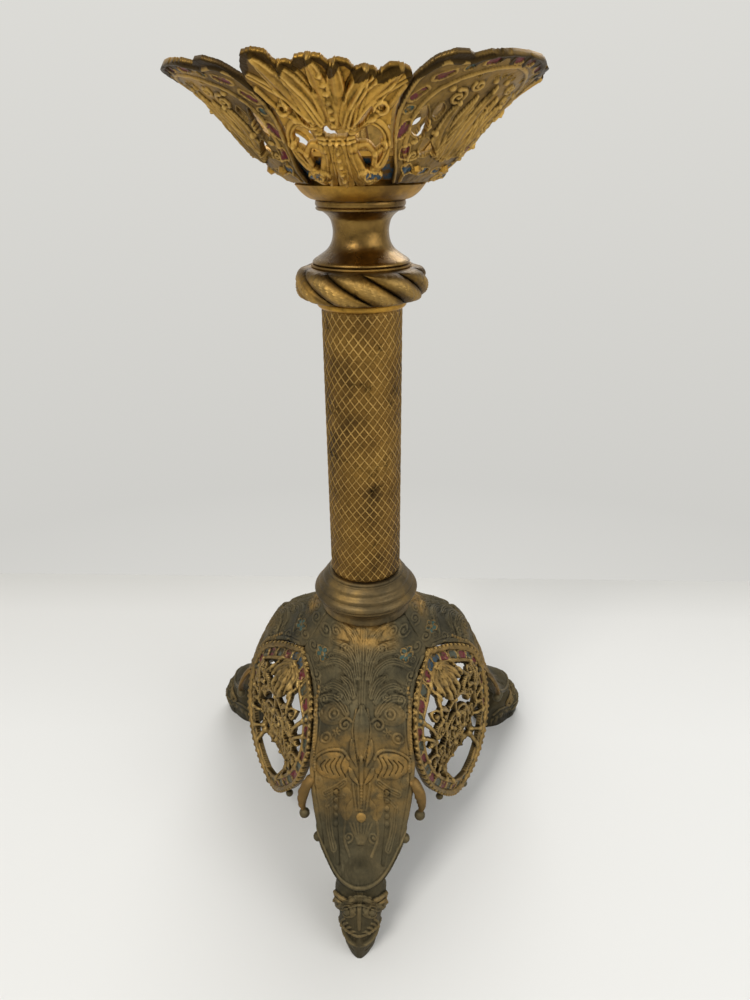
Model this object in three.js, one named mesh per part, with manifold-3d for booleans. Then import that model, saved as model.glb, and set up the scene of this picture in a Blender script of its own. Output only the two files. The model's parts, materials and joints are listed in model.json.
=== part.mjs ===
// Pricket candlestick: three cast legs with pierced medallions between them, a turned and cast stem
// on one tie rod, and a pierced drip pan with the pricket at its middle. Millimetres, +Z up.
import * as THREE from 'three';
import { mergeVertices } from 'three/addons/utils/BufferGeometryUtils.js';
import Module from 'manifold-3d';

const wasm = await Module();
wasm.setup();

// Driving dimensions
const GAP = 0.3; // between pieces that bear on each other
const ROUND = 28; // facets of a turned piece
const ROD_R = 3;
const BORE_R = ROD_R + GAP;

const COLUMN_R = 19;
const COLUMN_WALL = 2.5;
const COLUMN_BOTTOM = 157;
const COLUMN_TOP = 299;
const FILLET_TOP = 302.5;
const BUSH_HEIGHT = 8;

const KNOP_R = 30.6;
const KNOP_BOTTOM = FILLET_TOP + GAP;
const KNOP_TOP = 318.2;
const KNOP_LOBES = 10;
const KNOP_GROOVE = 2.8;
const KNOP_SWELL = 8.6; // from the knop's edge bands out to its widest round
const KNOP_FILLET_R = 22.6;
const KNOP_TWIST = 0.5; // radians that a lobe turns between the knop's two edges

const NECK_BOTTOM = KNOP_TOP + GAP;
const NECK_TOP = 340.3;
const PAN_RING_TOP = 344.5;
const CUP_BOTTOM = PAN_RING_TOP + GAP;
const CUP_FLOOR = 348;
const SPIKE_TIP = 388;
const SPIKE = { tip: 0.5, foot: 7, flange: 9, flangeHeight: 3 };

const COLLAR_BOTTOM = 133.3;
const COLLAR_R = 24.7;
const COLLAR_WEB = 150;
const COLLAR_BORE = 19.5;
const TAB_TOP = 132.9;
const TAB_BOTTOM = 128.8;
const TAB_BORE = 8;
const CLAMP_R = 21;
const CLAMP_BOTTOM = TAB_BOTTOM - GAP - 3.2;
const NUT_R = 5.8;
const NUT_HEIGHT = 5;
const ROD_BOTTOM = 114;
const ROD_TOP = 357;

const HALF_SECTOR = Math.PI / 3;
const LEG_ANGLES = { front: -90, right: 30, left: 150 };
const PANEL_ANGLES = { right: -30, rear: 90, left: 210 };
const PAN_TURN = -7; // degrees that the drip pan is turned on the stem

// Rim of a medallion of the base, apex to foot: distance from the axis, half width, height
const MEDALLION_RIM = [
  [39.2, 0.8, 114], [44.6, 22, 105.4], [51, 36, 95.5], [56.4, 42, 79.6],
  [62.4, 38.8, 59], [66.2, 26.6, 42], [67, 14, 31.4], [66.8, 1.2, 26.6],
];
const MEDALLION_HALF = 42;
const MEDALLION_CROWN = 2.4; // how far its middle stands proud of its widest rim
const PLATE = 3; // wall of a medallion
const PAN_PLATE = 2.2; // wall of the drip pan's leaves
const SLIT = 1.2; // between neighbouring castings
const FIXING = { across: 38.6, height: 80, hole: 1.55, shank: 1.25, head: 1.9, tail: 9.5 };
const EAR = { height: 9, inward: 4, outward: 8, thickness: 3 };

// A leg, collar to foot: crest (distance from the axis, height), then the height where its edge
// follows the medallion, or the edge itself (distance, half width, height) where it runs free
const LEG_WALL = 3.6;
const LEG_UNDER_COLLAR = [[23, 133], [26, 132.9], [32, 127.6], [40, 121]];
const LEG_SHOULDER = [[48, 116.4, 109], [55, 112.4, 104], [61.5, 107.4, 98], [68, 99.2, 89], [73, 87.6, 79]];
const LEG_SHANK = [
  [77.2, 74, 71.5, 27.2, 69], [81.8, 62.6, 77.5, 25.6, 58], [87.5, 52.6, 84, 23.3, 48.5],
  [93.5, 45, 90.5, 21.6, 41], [99, 40.4, 96.5, 19, 35.5], [104, 37.6, 101.6, 16.9, 31.6],
  [109.5, 34.4, 105.4, 14.8, 28],
];
const VALLEY_DROP = [0, 0.6, 3.4, 5.6]; // how far a leg's edge lies under its crest near the collar

// Beast-headed foot, nape to snout, and its lower jaw: distance from the axis, half width, height
const HEAD = [
  [88, 10, 22], [93, 13, 34.4], [98.5, 14.4, 38.6], [103.5, 14.4, 39], [108, 13.4, 35.6],
  [112, 11.6, 28.8], [116, 9.6, 22.8], [119, 7.6, 19.8], [121.4, 4.6, 16.2],
];
const JAW = [[98, 9, 9], [108, 9.4, 10.6], [114.5, 7.6, 10.2], [118.8, 5.2, 8.6], [120.8, 2.6, 6.2]];
const JAW_SPREAD = 0.66; // width of the foot on the floor, as a share of its width above
const MOUTH = [[111.5, 11.2], [128, 16.8], [128, 10]];
const BERRIES = [[63.8, 25.6, 38.4], [67.4, 0, 25.6]]; // under a medallion's rim, one of them on both sides
const BERRY_R = 2.1;

// Drip pan, under side of its bowl: distance from the axis, height
const BOWL = [
  [28.4, 351], [32.3, 353.6], [38, 357.6], [46.5, 365.6], [54.2, 374], [62.7, 382.2],
  [67.5, 386], [73.2, 389.6], [78, 392.6], [82, 394.8],
];
const CUP_TOP = 351;
const CUP_OUTSIDE = [[19.9, CUP_BOTTOM], [22.6, 345.8], [25.8, 348.2], [28.4, CUP_TOP]];
const BAND_WALL = 2.2; // the cup's seat band, behind the pierced work
const BAND_TOP = 360;
// Outlines on the bowl, rim to foot: half angle in degrees, height
const LOBE_OUTLINE = [
  [0.6, 393], [10, 392], [20, 390], [28.4, 388.4], [32, 385], [34.6, 381], [36.6, 375], [35.6, 367.6],
  [32.5, 361], [28.5, 356], [25, 351.8],
];
const FAN_OUTLINE = [
  [26, 385.4], [25.2, 383.4], [23.4, 380.5], [21.8, 376.6], [15.5, 372.2], [8.8, 369.4], [6.6, 364],
  [7.4, 358], [9.5, 351.8],
];
const FAN_SCALLOP = 3.6; // how far its leaf tips rise over the notches between them
const FAN_LEAF = 17.5; // degrees from one leaf tip to the next
const RIVET = { hole: 1.5, shank: 1.2, head: 2.2, height: 357.2, lobeAngle: 15 };

// Finishes
const gilt = new THREE.MeshStandardMaterial({ color: 0xa9812f, roughness: 0.38, metalness: 1 });
const brass = new THREE.MeshStandardMaterial({ color: 0x9c7a34, roughness: 0.25, metalness: 1 });
const patina = new THREE.MeshStandardMaterial({ color: 0x5b4d30, roughness: 0.55, metalness: 0.9 });
const steel = new THREE.MeshStandardMaterial({ color: 0x8a8782, roughness: 0.4, metalness: 1 });

const candlestick = new THREE.Group();

function add(name, shape, material, angle = 0) {
  const geometry = toGeometry(shape.isBufferGeometry ? toManifold(shape) : shape);
  const piece = new THREE.Mesh(geometry, material);
  piece.name = name;
  piece.rotation.z = THREE.MathUtils.degToRad(angle);
  candlestick.add(piece);
}

const UP = new THREE.Vector3(0, 0, 1);
const FACING_OUT = new THREE.Matrix4().makeBasis(new THREE.Vector3(0, 1, 0), UP, new THREE.Vector3(1, 0, 0));

// Solids that are cut or joined

function toManifold(geometry) {
  const bare = geometry.clone();
  bare.deleteAttribute('normal');
  bare.deleteAttribute('uv');
  const merged = mergeVertices(bare, 1e-4);
  return new wasm.Manifold(new wasm.Mesh({
    numProp: 3,
    vertProperties: new Float32Array(merged.attributes.position.array),
    triVerts: new Uint32Array(merged.index.array),
  }));
}

function toGeometry(solid) {
  const mesh = solid.getMesh();
  const geometry = new THREE.BufferGeometry();
  geometry.setAttribute('position', new THREE.BufferAttribute(new Float32Array(mesh.vertProperties), 3));
  geometry.setIndex(new THREE.BufferAttribute(new Uint32Array(mesh.triVerts), 1));
  return geometry;
}

const joined = (geometries) => geometries.map(toManifold).reduce((whole, solid) => whole.add(solid));

// A skin over rings of points. Over its first points each ring runs to +Y where the skin's outside is up
function loft(rings, { closed = false, flatEnds = false } = {}) {
  const count = rings[0].length;
  const total = rings.length * count;
  const positions = rings.flat().flatMap((p) => [p.x, p.y, p.z]);
  const faces = [];
  for (let i = 0; i < rings.length - (closed ? 0 : 1); i += 1) {
    for (let j = 0; j < count; j += 1) {
      const a = i * count + j;
      const b = i * count + ((j + 1) % count);
      const c = (b + count) % total;
      const d = (a + count) % total;
      faces.push(a, c, b, a, d, c);
    }
  }
  const cap = (start, first) => {
    const triangle = (a, b, c) => faces.push(...(first ? [a, b, c] : [a, c, b]));
    if (flatEnds) {
      for (let j = 0; j + 1 < count / 2; j += 1) {
        const under = count - 1 - j;
        triangle(start + j, start + j + 1, start + under - 1);
        triangle(start + j, start + under - 1, start + under);
      }
    } else {
      const ring = rings[start / count];
      const middle = ring.reduce((sum, p) => sum.add(p), new THREE.Vector3()).divideScalar(count);
      positions.push(middle.x, middle.y, middle.z);
      const hub = positions.length / 3 - 1;
      for (let j = 0; j < count; j += 1) triangle(hub, start + j, start + ((j + 1) % count));
    }
  };
  if (!closed) {
    cap(0, true);
    cap(total - count, false);
  }
  const geometry = new THREE.BufferGeometry();
  geometry.setAttribute('position', new THREE.Float32BufferAttribute(positions, 3));
  geometry.setIndex(faces);
  return geometry;
}

// A cast plate: the grid is its outer face, rows running down and outwards; the wall lies behind it
function plate(grid, wall) {
  const last = [grid.length - 1, grid[0].length - 1];
  const normal = (i, j) => {
    const down = grid[Math.min(i + 1, last[0])][j].clone().sub(grid[Math.max(i - 1, 0)][j]);
    const across = grid[i][Math.min(j + 1, last[1])].clone().sub(grid[i][Math.max(j - 1, 0)]);
    return down.cross(across).normalize();
  };
  const rings = grid.map((row, i) => {
    const behind = row.map((p, j) => p.clone().addScaledVector(normal(i, j), -wall));
    return [...row, ...behind.reverse()];
  });
  return loft(rings, { flatEnds: true });
}

// A round bar along a curve, its radius given along the way
function tube(path, radiusAt) {
  return loft(fractions(5).map((t) => {
    const along = path.getTangent(t);
    const side = new THREE.Vector3(1, 0, 0).cross(along).normalize();
    const other = side.clone().cross(along);
    return fractions(6).slice(0, -1).map((turn) => path.getPoint(t)
      .addScaledVector(side, radiusAt(t) * Math.cos(turn * 2 * Math.PI))
      .addScaledVector(other, radiusAt(t) * Math.sin(turn * 2 * Math.PI)));
  }));
}

// Points along a smooth curve through the given stations
function curve(stations) {
  const points = stations.map((p) => new THREE.Vector3(p[0], p[1], p[2] ?? 0));
  return new THREE.CatmullRomCurve3(points, false, 'centripetal');
}

const fractions = (count) => Array.from({ length: count + 1 }, (_, i) => i / count);
const acrossSteps = (count) => fractions(count).map((f) => 2 * f - 1);

function turned(profile, segments = ROUND) {
  const outline = [...profile, profile[0]].map(([r, z]) => new THREE.Vector2(r, z));
  return new THREE.LatheGeometry(outline, segments).rotateX(Math.PI / 2);
}

const disc = (bottom, top, radius, bore = BORE_R) => turned([
  [bore, bottom], [radius, bottom], [radius, top], [bore, top],
]);

function rod(radius, from, to, segments = 8) {
  return new THREE.CylinderGeometry(radius, radius, to - from, segments)
    .rotateX(Math.PI / 2).translate(0, 0, (from + to) / 2);
}

// A placement at a point with +Z along the given direction
function standingOff(place, direction) {
  const facing = new THREE.Quaternion().setFromUnitVectors(UP, direction.normalize());
  return new THREE.Matrix4().compose(place, facing, new THREE.Vector3(1, 1, 1));
}

// Flat outlines for the pierced work

function leafHole([x0, y0], [x1, y1], bulgeA, bulgeB) {
  const length = Math.hypot(x1 - x0, y1 - y0);
  const side = [(y1 - y0) / length, (x0 - x1) / length];
  const control = (bulge) => [(x0 + x1) / 2 + 2 * bulge * side[0], (y0 + y1) / 2 + 2 * bulge * side[1]];
  const shape = new THREE.Shape().moveTo(x0, y0);
  shape.quadraticCurveTo(...control(bulgeA), x1, y1);
  shape.quadraticCurveTo(...control(bulgeB), x0, y0);
  return shape;
}

function roundHole(x, y, radius) {
  return new THREE.Shape().absarc(x, y, radius, 0, 2 * Math.PI);
}

function scrollHole(x, y, outer, inner, opening, facing) {
  const shape = new THREE.Shape();
  shape.absarc(x, y, outer, facing + opening, facing + 2 * Math.PI - opening, false);
  shape.absarc(x, y, inner, facing + 2 * Math.PI - opening, facing + opening, true);
  return shape;
}

// Cuts flat outlines through a casting. The placement carries the outlines' plane onto the casting
function pierced(solid, outlines, placement, reach, curveSegments = 3) {
  return outlines.reduce((left, outline) => {
    const settings = { depth: 2 * reach, bevelEnabled: false, curveSegments };
    const cutter = new THREE.ExtrudeGeometry(outline, settings);
    return left.subtract(toManifold(cutter.translate(0, 0, -reach).applyMatrix4(placement)));
  }, solid);
}

const mirrored = (make) => [make(1), make(-1)];

// Base: medallions

const rimCurve = curve(MEDALLION_RIM);

function rimAtHeight(height) {
  const points = rimCurve.getPoints(60);
  const below = Math.max(1, points.findIndex((p) => p.z <= height));
  const [a, b] = [points[below - 1], points[below]];
  return a.clone().lerp(b, (a.z - height) / (a.z - b.z));
}

const crownAt = (half, across) => (MEDALLION_CROWN * (half ** 2 - across ** 2)) / MEDALLION_HALF ** 2;

function medallionPlate(margin = 0) {
  const grid = rimCurve.getPoints(13).map(({ x, y: half, z }) => acrossSteps(6).map((f) => {
    const across = Math.sin((f * Math.PI) / 2) * (half + margin);
    return new THREE.Vector3(x + crownAt(half, across), across, z);
  }));
  return toManifold(plate(grid, PLATE));
}

// Where a fixing screw passes the rim: the place on its face, turned so that +Z stands off the face
function fixingPlacement(side) {
  const rim = rimAtHeight(FIXING.height);
  const lower = rimAtHeight(FIXING.height - 5);
  const across = side * FIXING.across;
  const lean = (lower.x - rim.x) / 5;
  const turn = (2 * MEDALLION_CROWN * across) / MEDALLION_HALF ** 2;
  const place = new THREE.Vector3(rim.x + crownAt(rim.y, across), across, FIXING.height);
  return standingOff(place, new THREE.Vector3(1, turn, lean));
}

// Vine scrolls and palmette: the openings of a medallion, across and up
const medallionOpenings = [
  ...mirrored((s) => leafHole([s * 15, 102], [s * 31, 82], s * -3, s * 4)),
  ...mirrored((s) => leafHole([s * 29, 76], [s * 24, 60], s * -1.6, s * 2.4)),
  leafHole([-9, 85], [9, 85], -9.5, -4),
  leafHole([-8, 76], [8, 76], -6, -0.6),
  scrollHole(0, 65.5, 9, 4.6, 0.5, -Math.PI / 2),
  ...mirrored((s) => leafHole([s * 13.5, 70], [s * 17, 57.5], s * -2, s * 1.6)),
  ...mirrored((s) => roundHole(s * 8.4, 51.8, 2.9)),
  ...mirrored((s) => leafHole([s * 27, 55], [s * 17, 40.5], s * -3, s * 0.6)),
  leafHole([-11, 41], [11, 41], 5.4, -2),
];

function berries() {
  const [low, lowest] = BERRIES;
  const places = [lowest, ...mirrored((s) => [low[0], s * low[1], low[2]])];
  return joined(places.map((place) => new THREE.SphereGeometry(BERRY_R, 8, 6).translate(...place)));
}

function medallion() {
  let solid = pierced(medallionPlate(), medallionOpenings, FACING_OUT, 100).add(berries());
  for (const side of [-1, 1]) {
    const hole = rod(FIXING.hole, -10, 10).applyMatrix4(fixingPlacement(side));
    solid = solid.subtract(toManifold(hole));
  }
  return solid;
}

function fixingScrew(side) {
  const { shank, tail, head } = FIXING;
  const dome = [[head, GAP], [head * 0.75, GAP + 1], [0, GAP + 1.5]];
  const screw = turned([[0, -tail], [shank, -tail], [shank, GAP], ...dome], 8);
  return screw.applyMatrix4(fixingPlacement(side));
}

for (const [place, angle] of Object.entries(PANEL_ANGLES)) {
  add(`medallion_${place}`, medallion(), patina, angle);
  add(`medallion_screw_${place}_a`, fixingScrew(-1), patina, angle);
  add(`medallion_screw_${place}_b`, fixingScrew(1), patina, angle);
}

// Base: legs. In a leg's own frame +X points out along it; a medallion's axis lies 60 degrees off

function besideMedallion(outward, across, height) {
  const [c, s] = [Math.cos(HALF_SECTOR), Math.sin(HALF_SECTOR)];
  return [outward * c + across * s, outward * s - across * c, height];
}

function legSkin() {
  const crest = [];
  const edge = [];
  LEG_UNDER_COLLAR.forEach(([r, z], i) => {
    crest.push([r, 0, z]);
    edge.push(besideMedallion(r - 0.3 * i, SLIT / 2, z - VALLEY_DROP[i]));
  });
  for (const [r, z, edgeHeight] of LEG_SHOULDER) {
    const rim = rimAtHeight(edgeHeight);
    crest.push([r, 0, z]);
    edge.push(besideMedallion(rim.x, rim.y + SLIT, edgeHeight));
  }
  for (const [r, z, edgeR, half, edgeZ] of LEG_SHANK) {
    crest.push([r, 0, z]);
    edge.push([edgeR, half, edgeZ]);
  }
  const [crestCurve, edgeCurve] = [curve(crest), curve(edge)];
  const grid = fractions(17).map((t) => {
    const top = crestCurve.getPoint(t);
    const side = edgeCurve.getPoint(t);
    return acrossSteps(6).map((f) => new THREE.Vector3(
      THREE.MathUtils.lerp(top.x, side.x, f ** 2),
      side.y * f,
      THREE.MathUtils.lerp(top.z, side.z, Math.abs(f) ** 1.7),
    ));
  });
  return plate(grid, LEG_WALL);
}

function arch(x, half, height) {
  return fractions(8).map((f) => {
    const angle = f * Math.PI;
    const spread = THREE.MathUtils.lerp(JAW_SPREAD, 1, Math.min(1, 2 * Math.sin(angle)));
    return new THREE.Vector3(x, -half * Math.cos(angle) * spread, height * Math.sin(angle) ** 0.75);
  });
}

function beastFoot() {
  const head = joined([loft(HEAD.map((row) => arch(...row))), loft(JAW.map((row) => arch(...row)))]);
  const mouth = new THREE.Shape(MOUTH.map(([x, z]) => new THREE.Vector2(x, z)));
  const sideways = new THREE.Matrix4().makeRotationX(Math.PI / 2);
  return pierced(head, [mouth], sideways, 20);
}

function collarTab() {
  const spread = HALF_SECTOR - 0.03;
  const shape = new THREE.Shape();
  shape.absarc(0, 0, COLLAR_R, -spread, spread, false);
  shape.absarc(0, 0, TAB_BORE, spread, -spread, true);
  const settings = { depth: TAB_TOP - TAB_BOTTOM, bevelEnabled: false, curveSegments: 10 };
  return new THREE.ExtrudeGeometry(shape, settings).translate(0, 0, TAB_BOTTOM);
}

// Leaf that curls out from a leg's edge and ends in a berry
function crocket(side) {
  const stem = [[70, 24, 69], [73.4, 28.6, 67.4], [75.6, 31.2, 62], [76.8, 31.6, 56.5], [77.4, 30.6, 52.5]];
  const path = curve(stem.map(([x, y, z]) => [x, side * y, z]));
  return [
    tube(path, (t) => 3.7 - 1.3 * t),
    new THREE.SphereGeometry(2.8, 8, 6).translate(77.4, side * 30.4, 51.2),
  ];
}

function stud(side) {
  return [
    new THREE.CylinderGeometry(1.8, 1.8, 8, 8).translate(85, side * 21, 44),
    new THREE.SphereGeometry(2.8, 8, 6).translate(85.5, side * 26, 43.6),
  ];
}

// Ear behind a neighbouring medallion, for its fixing screw
function ear(side) {
  const width = EAR.inward + EAR.outward;
  const box = new THREE.BoxGeometry(EAR.height, width, EAR.thickness);
  box.translate(0, (-side * (EAR.outward - EAR.inward)) / 2, -(PLATE + GAP + EAR.thickness / 2));
  return toManifold(box.applyMatrix4(fixingPlacement(-side)).rotateZ(side * HALF_SECTOR));
}

// All that belongs to the neighbour: the medallion itself and what lies beyond its middle line
function neighbour(side) {
  const beyond = new THREE.BoxGeometry(300, 100, 300).translate(0, side * (50 - GAP), 0);
  return toManifold(beyond).add(medallionPlate(3 * GAP)).add(medallionPlate(GAP)).rotate([0, 0, side * 60]);
}

function leg() {
  const parts = [legSkin(), collarTab(), ...[-1, 1].flatMap((side) => [...crocket(side), ...stud(side)])];
  let solid = joined(parts).add(beastFoot());
  for (const side of [-1, 1]) {
    const hole = rod(FIXING.hole, -20, 10).applyMatrix4(fixingPlacement(-side)).rotateZ(side * HALF_SECTOR);
    solid = solid.add(ear(side)).subtract(toManifold(hole)).subtract(neighbour(side));
  }
  return solid;
}

for (const [place, angle] of Object.entries(LEG_ANGLES)) add(`leg_${place}`, leg(), patina, angle);

// Clamp under the legs and the tie rod that holds the stem together

add('leg_clamp_plate', disc(CLAMP_BOTTOM, TAB_BOTTOM - GAP, CLAMP_R), steel);

const nutTop = CLAMP_BOTTOM - GAP;
const nut = new THREE.CylinderGeometry(NUT_R, NUT_R, NUT_HEIGHT, 6).rotateX(Math.PI / 2)
  .translate(0, 0, nutTop - NUT_HEIGHT / 2);
add('rod_nut', toManifold(nut).subtract(toManifold(rod(BORE_R, ROD_BOTTOM, nutTop + 1, 24))), steel);
add('tie_rod', rod(ROD_R, ROD_BOTTOM, ROD_TOP, 24), steel);

// Stem

add('collar', turned([
  [COLLAR_BORE, COLLAR_BOTTOM], [COLLAR_R, COLLAR_BOTTOM], [24.2, 136], [24.5, 138.6], [26.4, 140.4],
  [27.5, 141.2], [27.5, 142.7], [28.3, 143.2], [28.9, 144.4], [28.2, 145.9], [26.4, 147], [26, 148.8],
  [24, 150.8], [23.4, 152.6], [21.6, 154.4], [20.8, 155], [20.8, 156.4], [20, COLUMN_BOTTOM],
  [BORE_R, COLUMN_BOTTOM], [BORE_R, COLLAR_WEB], [COLLAR_BORE, COLLAR_WEB],
], 32), patina);

const columnFoot = COLUMN_BOTTOM + GAP;
const columnBore = COLUMN_R - COLUMN_WALL;
add('column', disc(columnFoot, COLUMN_TOP, COLUMN_R, columnBore), gilt);
add('column_foot_bush', disc(columnFoot, columnFoot + BUSH_HEIGHT, columnBore - GAP), steel);
add('column_head_bush', disc(COLUMN_TOP - BUSH_HEIGHT, COLUMN_TOP, columnBore - GAP), steel);

const filletBottom = COLUMN_TOP + GAP;
add('column_fillet', turned([
  [BORE_R, filletBottom], [20, filletBottom], [20.6, 300.2], [20.6, 301.6], [20, FILLET_TOP],
  [BORE_R, FILLET_TOP],
]), gilt);

// Knop: gadroons that turn as they rise
function knop() {
  const height = KNOP_TOP - KNOP_BOTTOM;
  const middle = (KNOP_TOP + KNOP_BOTTOM) / 2 - 0.6;
  const swell = fractions(8).map((f) => (f - 0.5) * Math.PI * 0.94);
  const sections = fractions(KNOP_LOBES * 5).slice(0, -1).map((turn) => {
    const phi = turn * 2 * Math.PI;
    const at = (r, z) => new THREE.Vector3(r * Math.cos(phi), r * Math.sin(phi), z);
    const outside = swell.map((psi) => {
      const rise = Math.sin(psi) / 2;
      const lobe = Math.abs(Math.cos((KNOP_LOBES / 2) * (phi + KNOP_TWIST * rise * 2))) ** 0.7;
      const bulge = Math.cos(psi) ** 0.6;
      const r = KNOP_R - KNOP_SWELL * (1 - bulge) - KNOP_GROOVE * (1 - lobe) * bulge;
      return at(r, middle + rise * (height - 1.4));
    });
    return [
      at(BORE_R, KNOP_BOTTOM), at(KNOP_R - KNOP_SWELL, KNOP_BOTTOM), ...outside,
      at(KNOP_FILLET_R, KNOP_TOP - 1.2), at(KNOP_FILLET_R, KNOP_TOP), at(BORE_R, KNOP_TOP),
    ];
  });
  return loft(sections, { closed: true });
}
add('knop', knop(), gilt);

add('neck', turned([
  [BORE_R, NECK_BOTTOM], [21.8, NECK_BOTTOM], [21.9, 319.4], [21.2, 320.3], [18.2, 322.4], [15.2, 324.5],
  [13.3, 327.6], [12.6, 331.6], [12.8, 334], [13.7, 337], [15.2, 338.8], [17.2, NECK_TOP], [BORE_R, NECK_TOP],
]), brass);

add('pan_ring', turned([
  [BORE_R, NECK_TOP + GAP], [19.1, NECK_TOP + GAP], [19.8, PAN_RING_TOP], [BORE_R, PAN_RING_TOP],
]), brass);

// Drip pan: cup, pierced lobes and palmettes riveted to it, pricket

const bowlCurve = curve(BOWL.map(([r, z]) => [r, 0, z]));

// Point of the bowl's section at a height, moved off its face towards the inside
function bowlSection(height, inward = 0) {
  const points = bowlCurve.getPoints(80);
  const next = Math.min(points.length - 1, Math.max(1, points.findIndex((p) => p.z >= height)));
  const [a, b] = [points[next - 1], points[next]];
  const along = b.clone().sub(a);
  const inside = new THREE.Vector3(-along.z, 0, along.x).normalize();
  return a.clone().addScaledVector(along, (height - a.z) / along.z).addScaledVector(inside, inward);
}

function bowlPoint(degrees, height) {
  return bowlSection(height).applyAxisAngle(UP, THREE.MathUtils.degToRad(degrees));
}

// A cast leaf of the bowl. The scallop lifts its rim into leaf tips
function bowlLeaf(outline, scallop = 0, columns = 8, rowCount = 9) {
  const rows = curve(outline.map(([half, z]) => [half, z]))
    .getPoints(rowCount);
  const grid = rows.map(({ x: half, y: z }, i) => acrossSteps(columns).map((f) => {
    const leaf = Math.cos((2 * Math.PI * half * f) / FAN_LEAF);
    const lift = scallop * Math.max(0, 1 - i / 4) * Math.max(0, leaf) ** 0.7;
    return bowlPoint(half * f, z + lift);
  }));
  return toManifold(plate(grid, PAN_PLATE));
}

// Where a rivet passes the bowl, turned so that +Z stands off its under side
function rivetPlacement(degrees) {
  const [here, inside] = [0, 1].map((inward) => bowlSection(RIVET.height, inward));
  const turned = new THREE.Matrix4().makeRotationZ(THREE.MathUtils.degToRad(degrees));
  return turned.multiply(standingOff(here, here.clone().sub(inside)));
}

const rivetDepth = PAN_PLATE + GAP + BAND_WALL;
const rivetHole = (degrees) => toManifold(rod(RIVET.hole, -10, 5).applyMatrix4(rivetPlacement(degrees)));

function rivet(degrees) {
  const [outside, inside] = [GAP, -rivetDepth - GAP];
  const outer = new THREE.SphereGeometry(RIVET.head, 6, 4).translate(0, 0, outside);
  const inner = new THREE.SphereGeometry(RIVET.head, 6, 4).translate(0, 0, inside);
  const between = new THREE.CylinderGeometry(9, 9, outside - inside, 8).rotateX(Math.PI / 2)
    .translate(0, 0, (outside + inside) / 2);
  const heads = toManifold(outer).add(toManifold(inner)).subtract(toManifold(between));
  const shank = toManifold(rod(RIVET.shank, inside - 0.5, outside + 0.5));
  return toGeometry(heads.add(shank)).applyMatrix4(rivetPlacement(degrees));
}

function cup() {
  const offset = (inward) => (z) => {
    const point = bowlSection(z, inward);
    return [point.x, point.z];
  };
  const stations = fractions(2).map((f) => CUP_TOP + f * (BAND_TOP - CUP_TOP));
  const profile = [
    [BORE_R, CUP_BOTTOM], ...CUP_OUTSIDE, ...stations.map(offset(PAN_PLATE + GAP)),
    ...stations.map(offset(rivetDepth)).reverse(), [20.5, 349.4], [18, CUP_FLOOR], [BORE_R, CUP_FLOOR],
  ];
  return toManifold(turned(profile));
}

// Openings of a lobe, across and up
const lobeOpenings = [
  ...mirrored((s) => leafHole([s * 24.5, 378.5], [s * 20, 367.5], s * 2.2, s * -1)),
  ...mirrored((s) => roundHole(s * 12, 364.4, 1.8)),
  ...mirrored((s) => roundHole(s * 15, 387.2, 1.2)),
];
const palmetteOpenings = [
  ...mirrored((s) => leafHole([s * 8.2, 372.4], [s * 14, 378], s * -1.2, s * 1.3)),
];

let panCup = cup();
for (const [place, centre] of Object.entries(PANEL_ANGLES)) {
  const angle = centre + PAN_TURN;
  let lobe = pierced(bowlLeaf(LOBE_OUTLINE), lobeOpenings, FACING_OUT, 100);
  for (const [side, hand] of [[-1, 'a'], [1, 'b']]) {
    const hole = rivetHole(side * RIVET.lobeAngle);
    lobe = lobe.subtract(hole);
    panCup = panCup.subtract(hole.rotate([0, 0, angle]));
    add(`pan_rivet_${place}_${hand}`, rivet(side * RIVET.lobeAngle), gilt, angle);
  }
  add(`pan_lobe_${place}`, lobe, gilt, angle);
}
for (const [place, centre] of Object.entries(LEG_ANGLES)) {
  const angle = centre + PAN_TURN;
  const palmette = pierced(bowlLeaf(FAN_OUTLINE, FAN_SCALLOP, 14), palmetteOpenings, FACING_OUT, 100);
  add(`pan_palmette_${place}`, palmette.subtract(rivetHole(0)), gilt, angle);
  add(`pan_rivet_${place}`, rivet(0), gilt, angle);
  panCup = panCup.subtract(rivetHole(0).rotate([0, 0, angle]));
}
add('pan_cup', panCup, gilt);

function spike() {
  const seat = CUP_FLOOR + GAP;
  const cone = new THREE.CylinderGeometry(SPIKE.tip, SPIKE.foot, SPIKE_TIP - seat - SPIKE.flangeHeight, 24)
    .rotateX(Math.PI / 2).translate(0, 0, (SPIKE_TIP + seat + SPIKE.flangeHeight) / 2);
  const socket = rod(BORE_R, seat - 1, ROD_TOP + GAP, 24);
  const flange = rod(SPIKE.flange, seat, seat + SPIKE.flangeHeight, ROUND);
  return joined([cone, flange]).subtract(toManifold(socket));
}
add('spike', spike(), brass);

// The origin lies at the middle of the footprint, on the floor
const box = new THREE.Box3().setFromObject(candlestick, true);
const middle = box.getCenter(new THREE.Vector3());
candlestick.position.set(-middle.x, -middle.y, -box.min.z);

export default candlestick;
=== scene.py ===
import json
import math

import bmesh
import bpy
import numpy as np
from mathutils import Matrix, Vector


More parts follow.
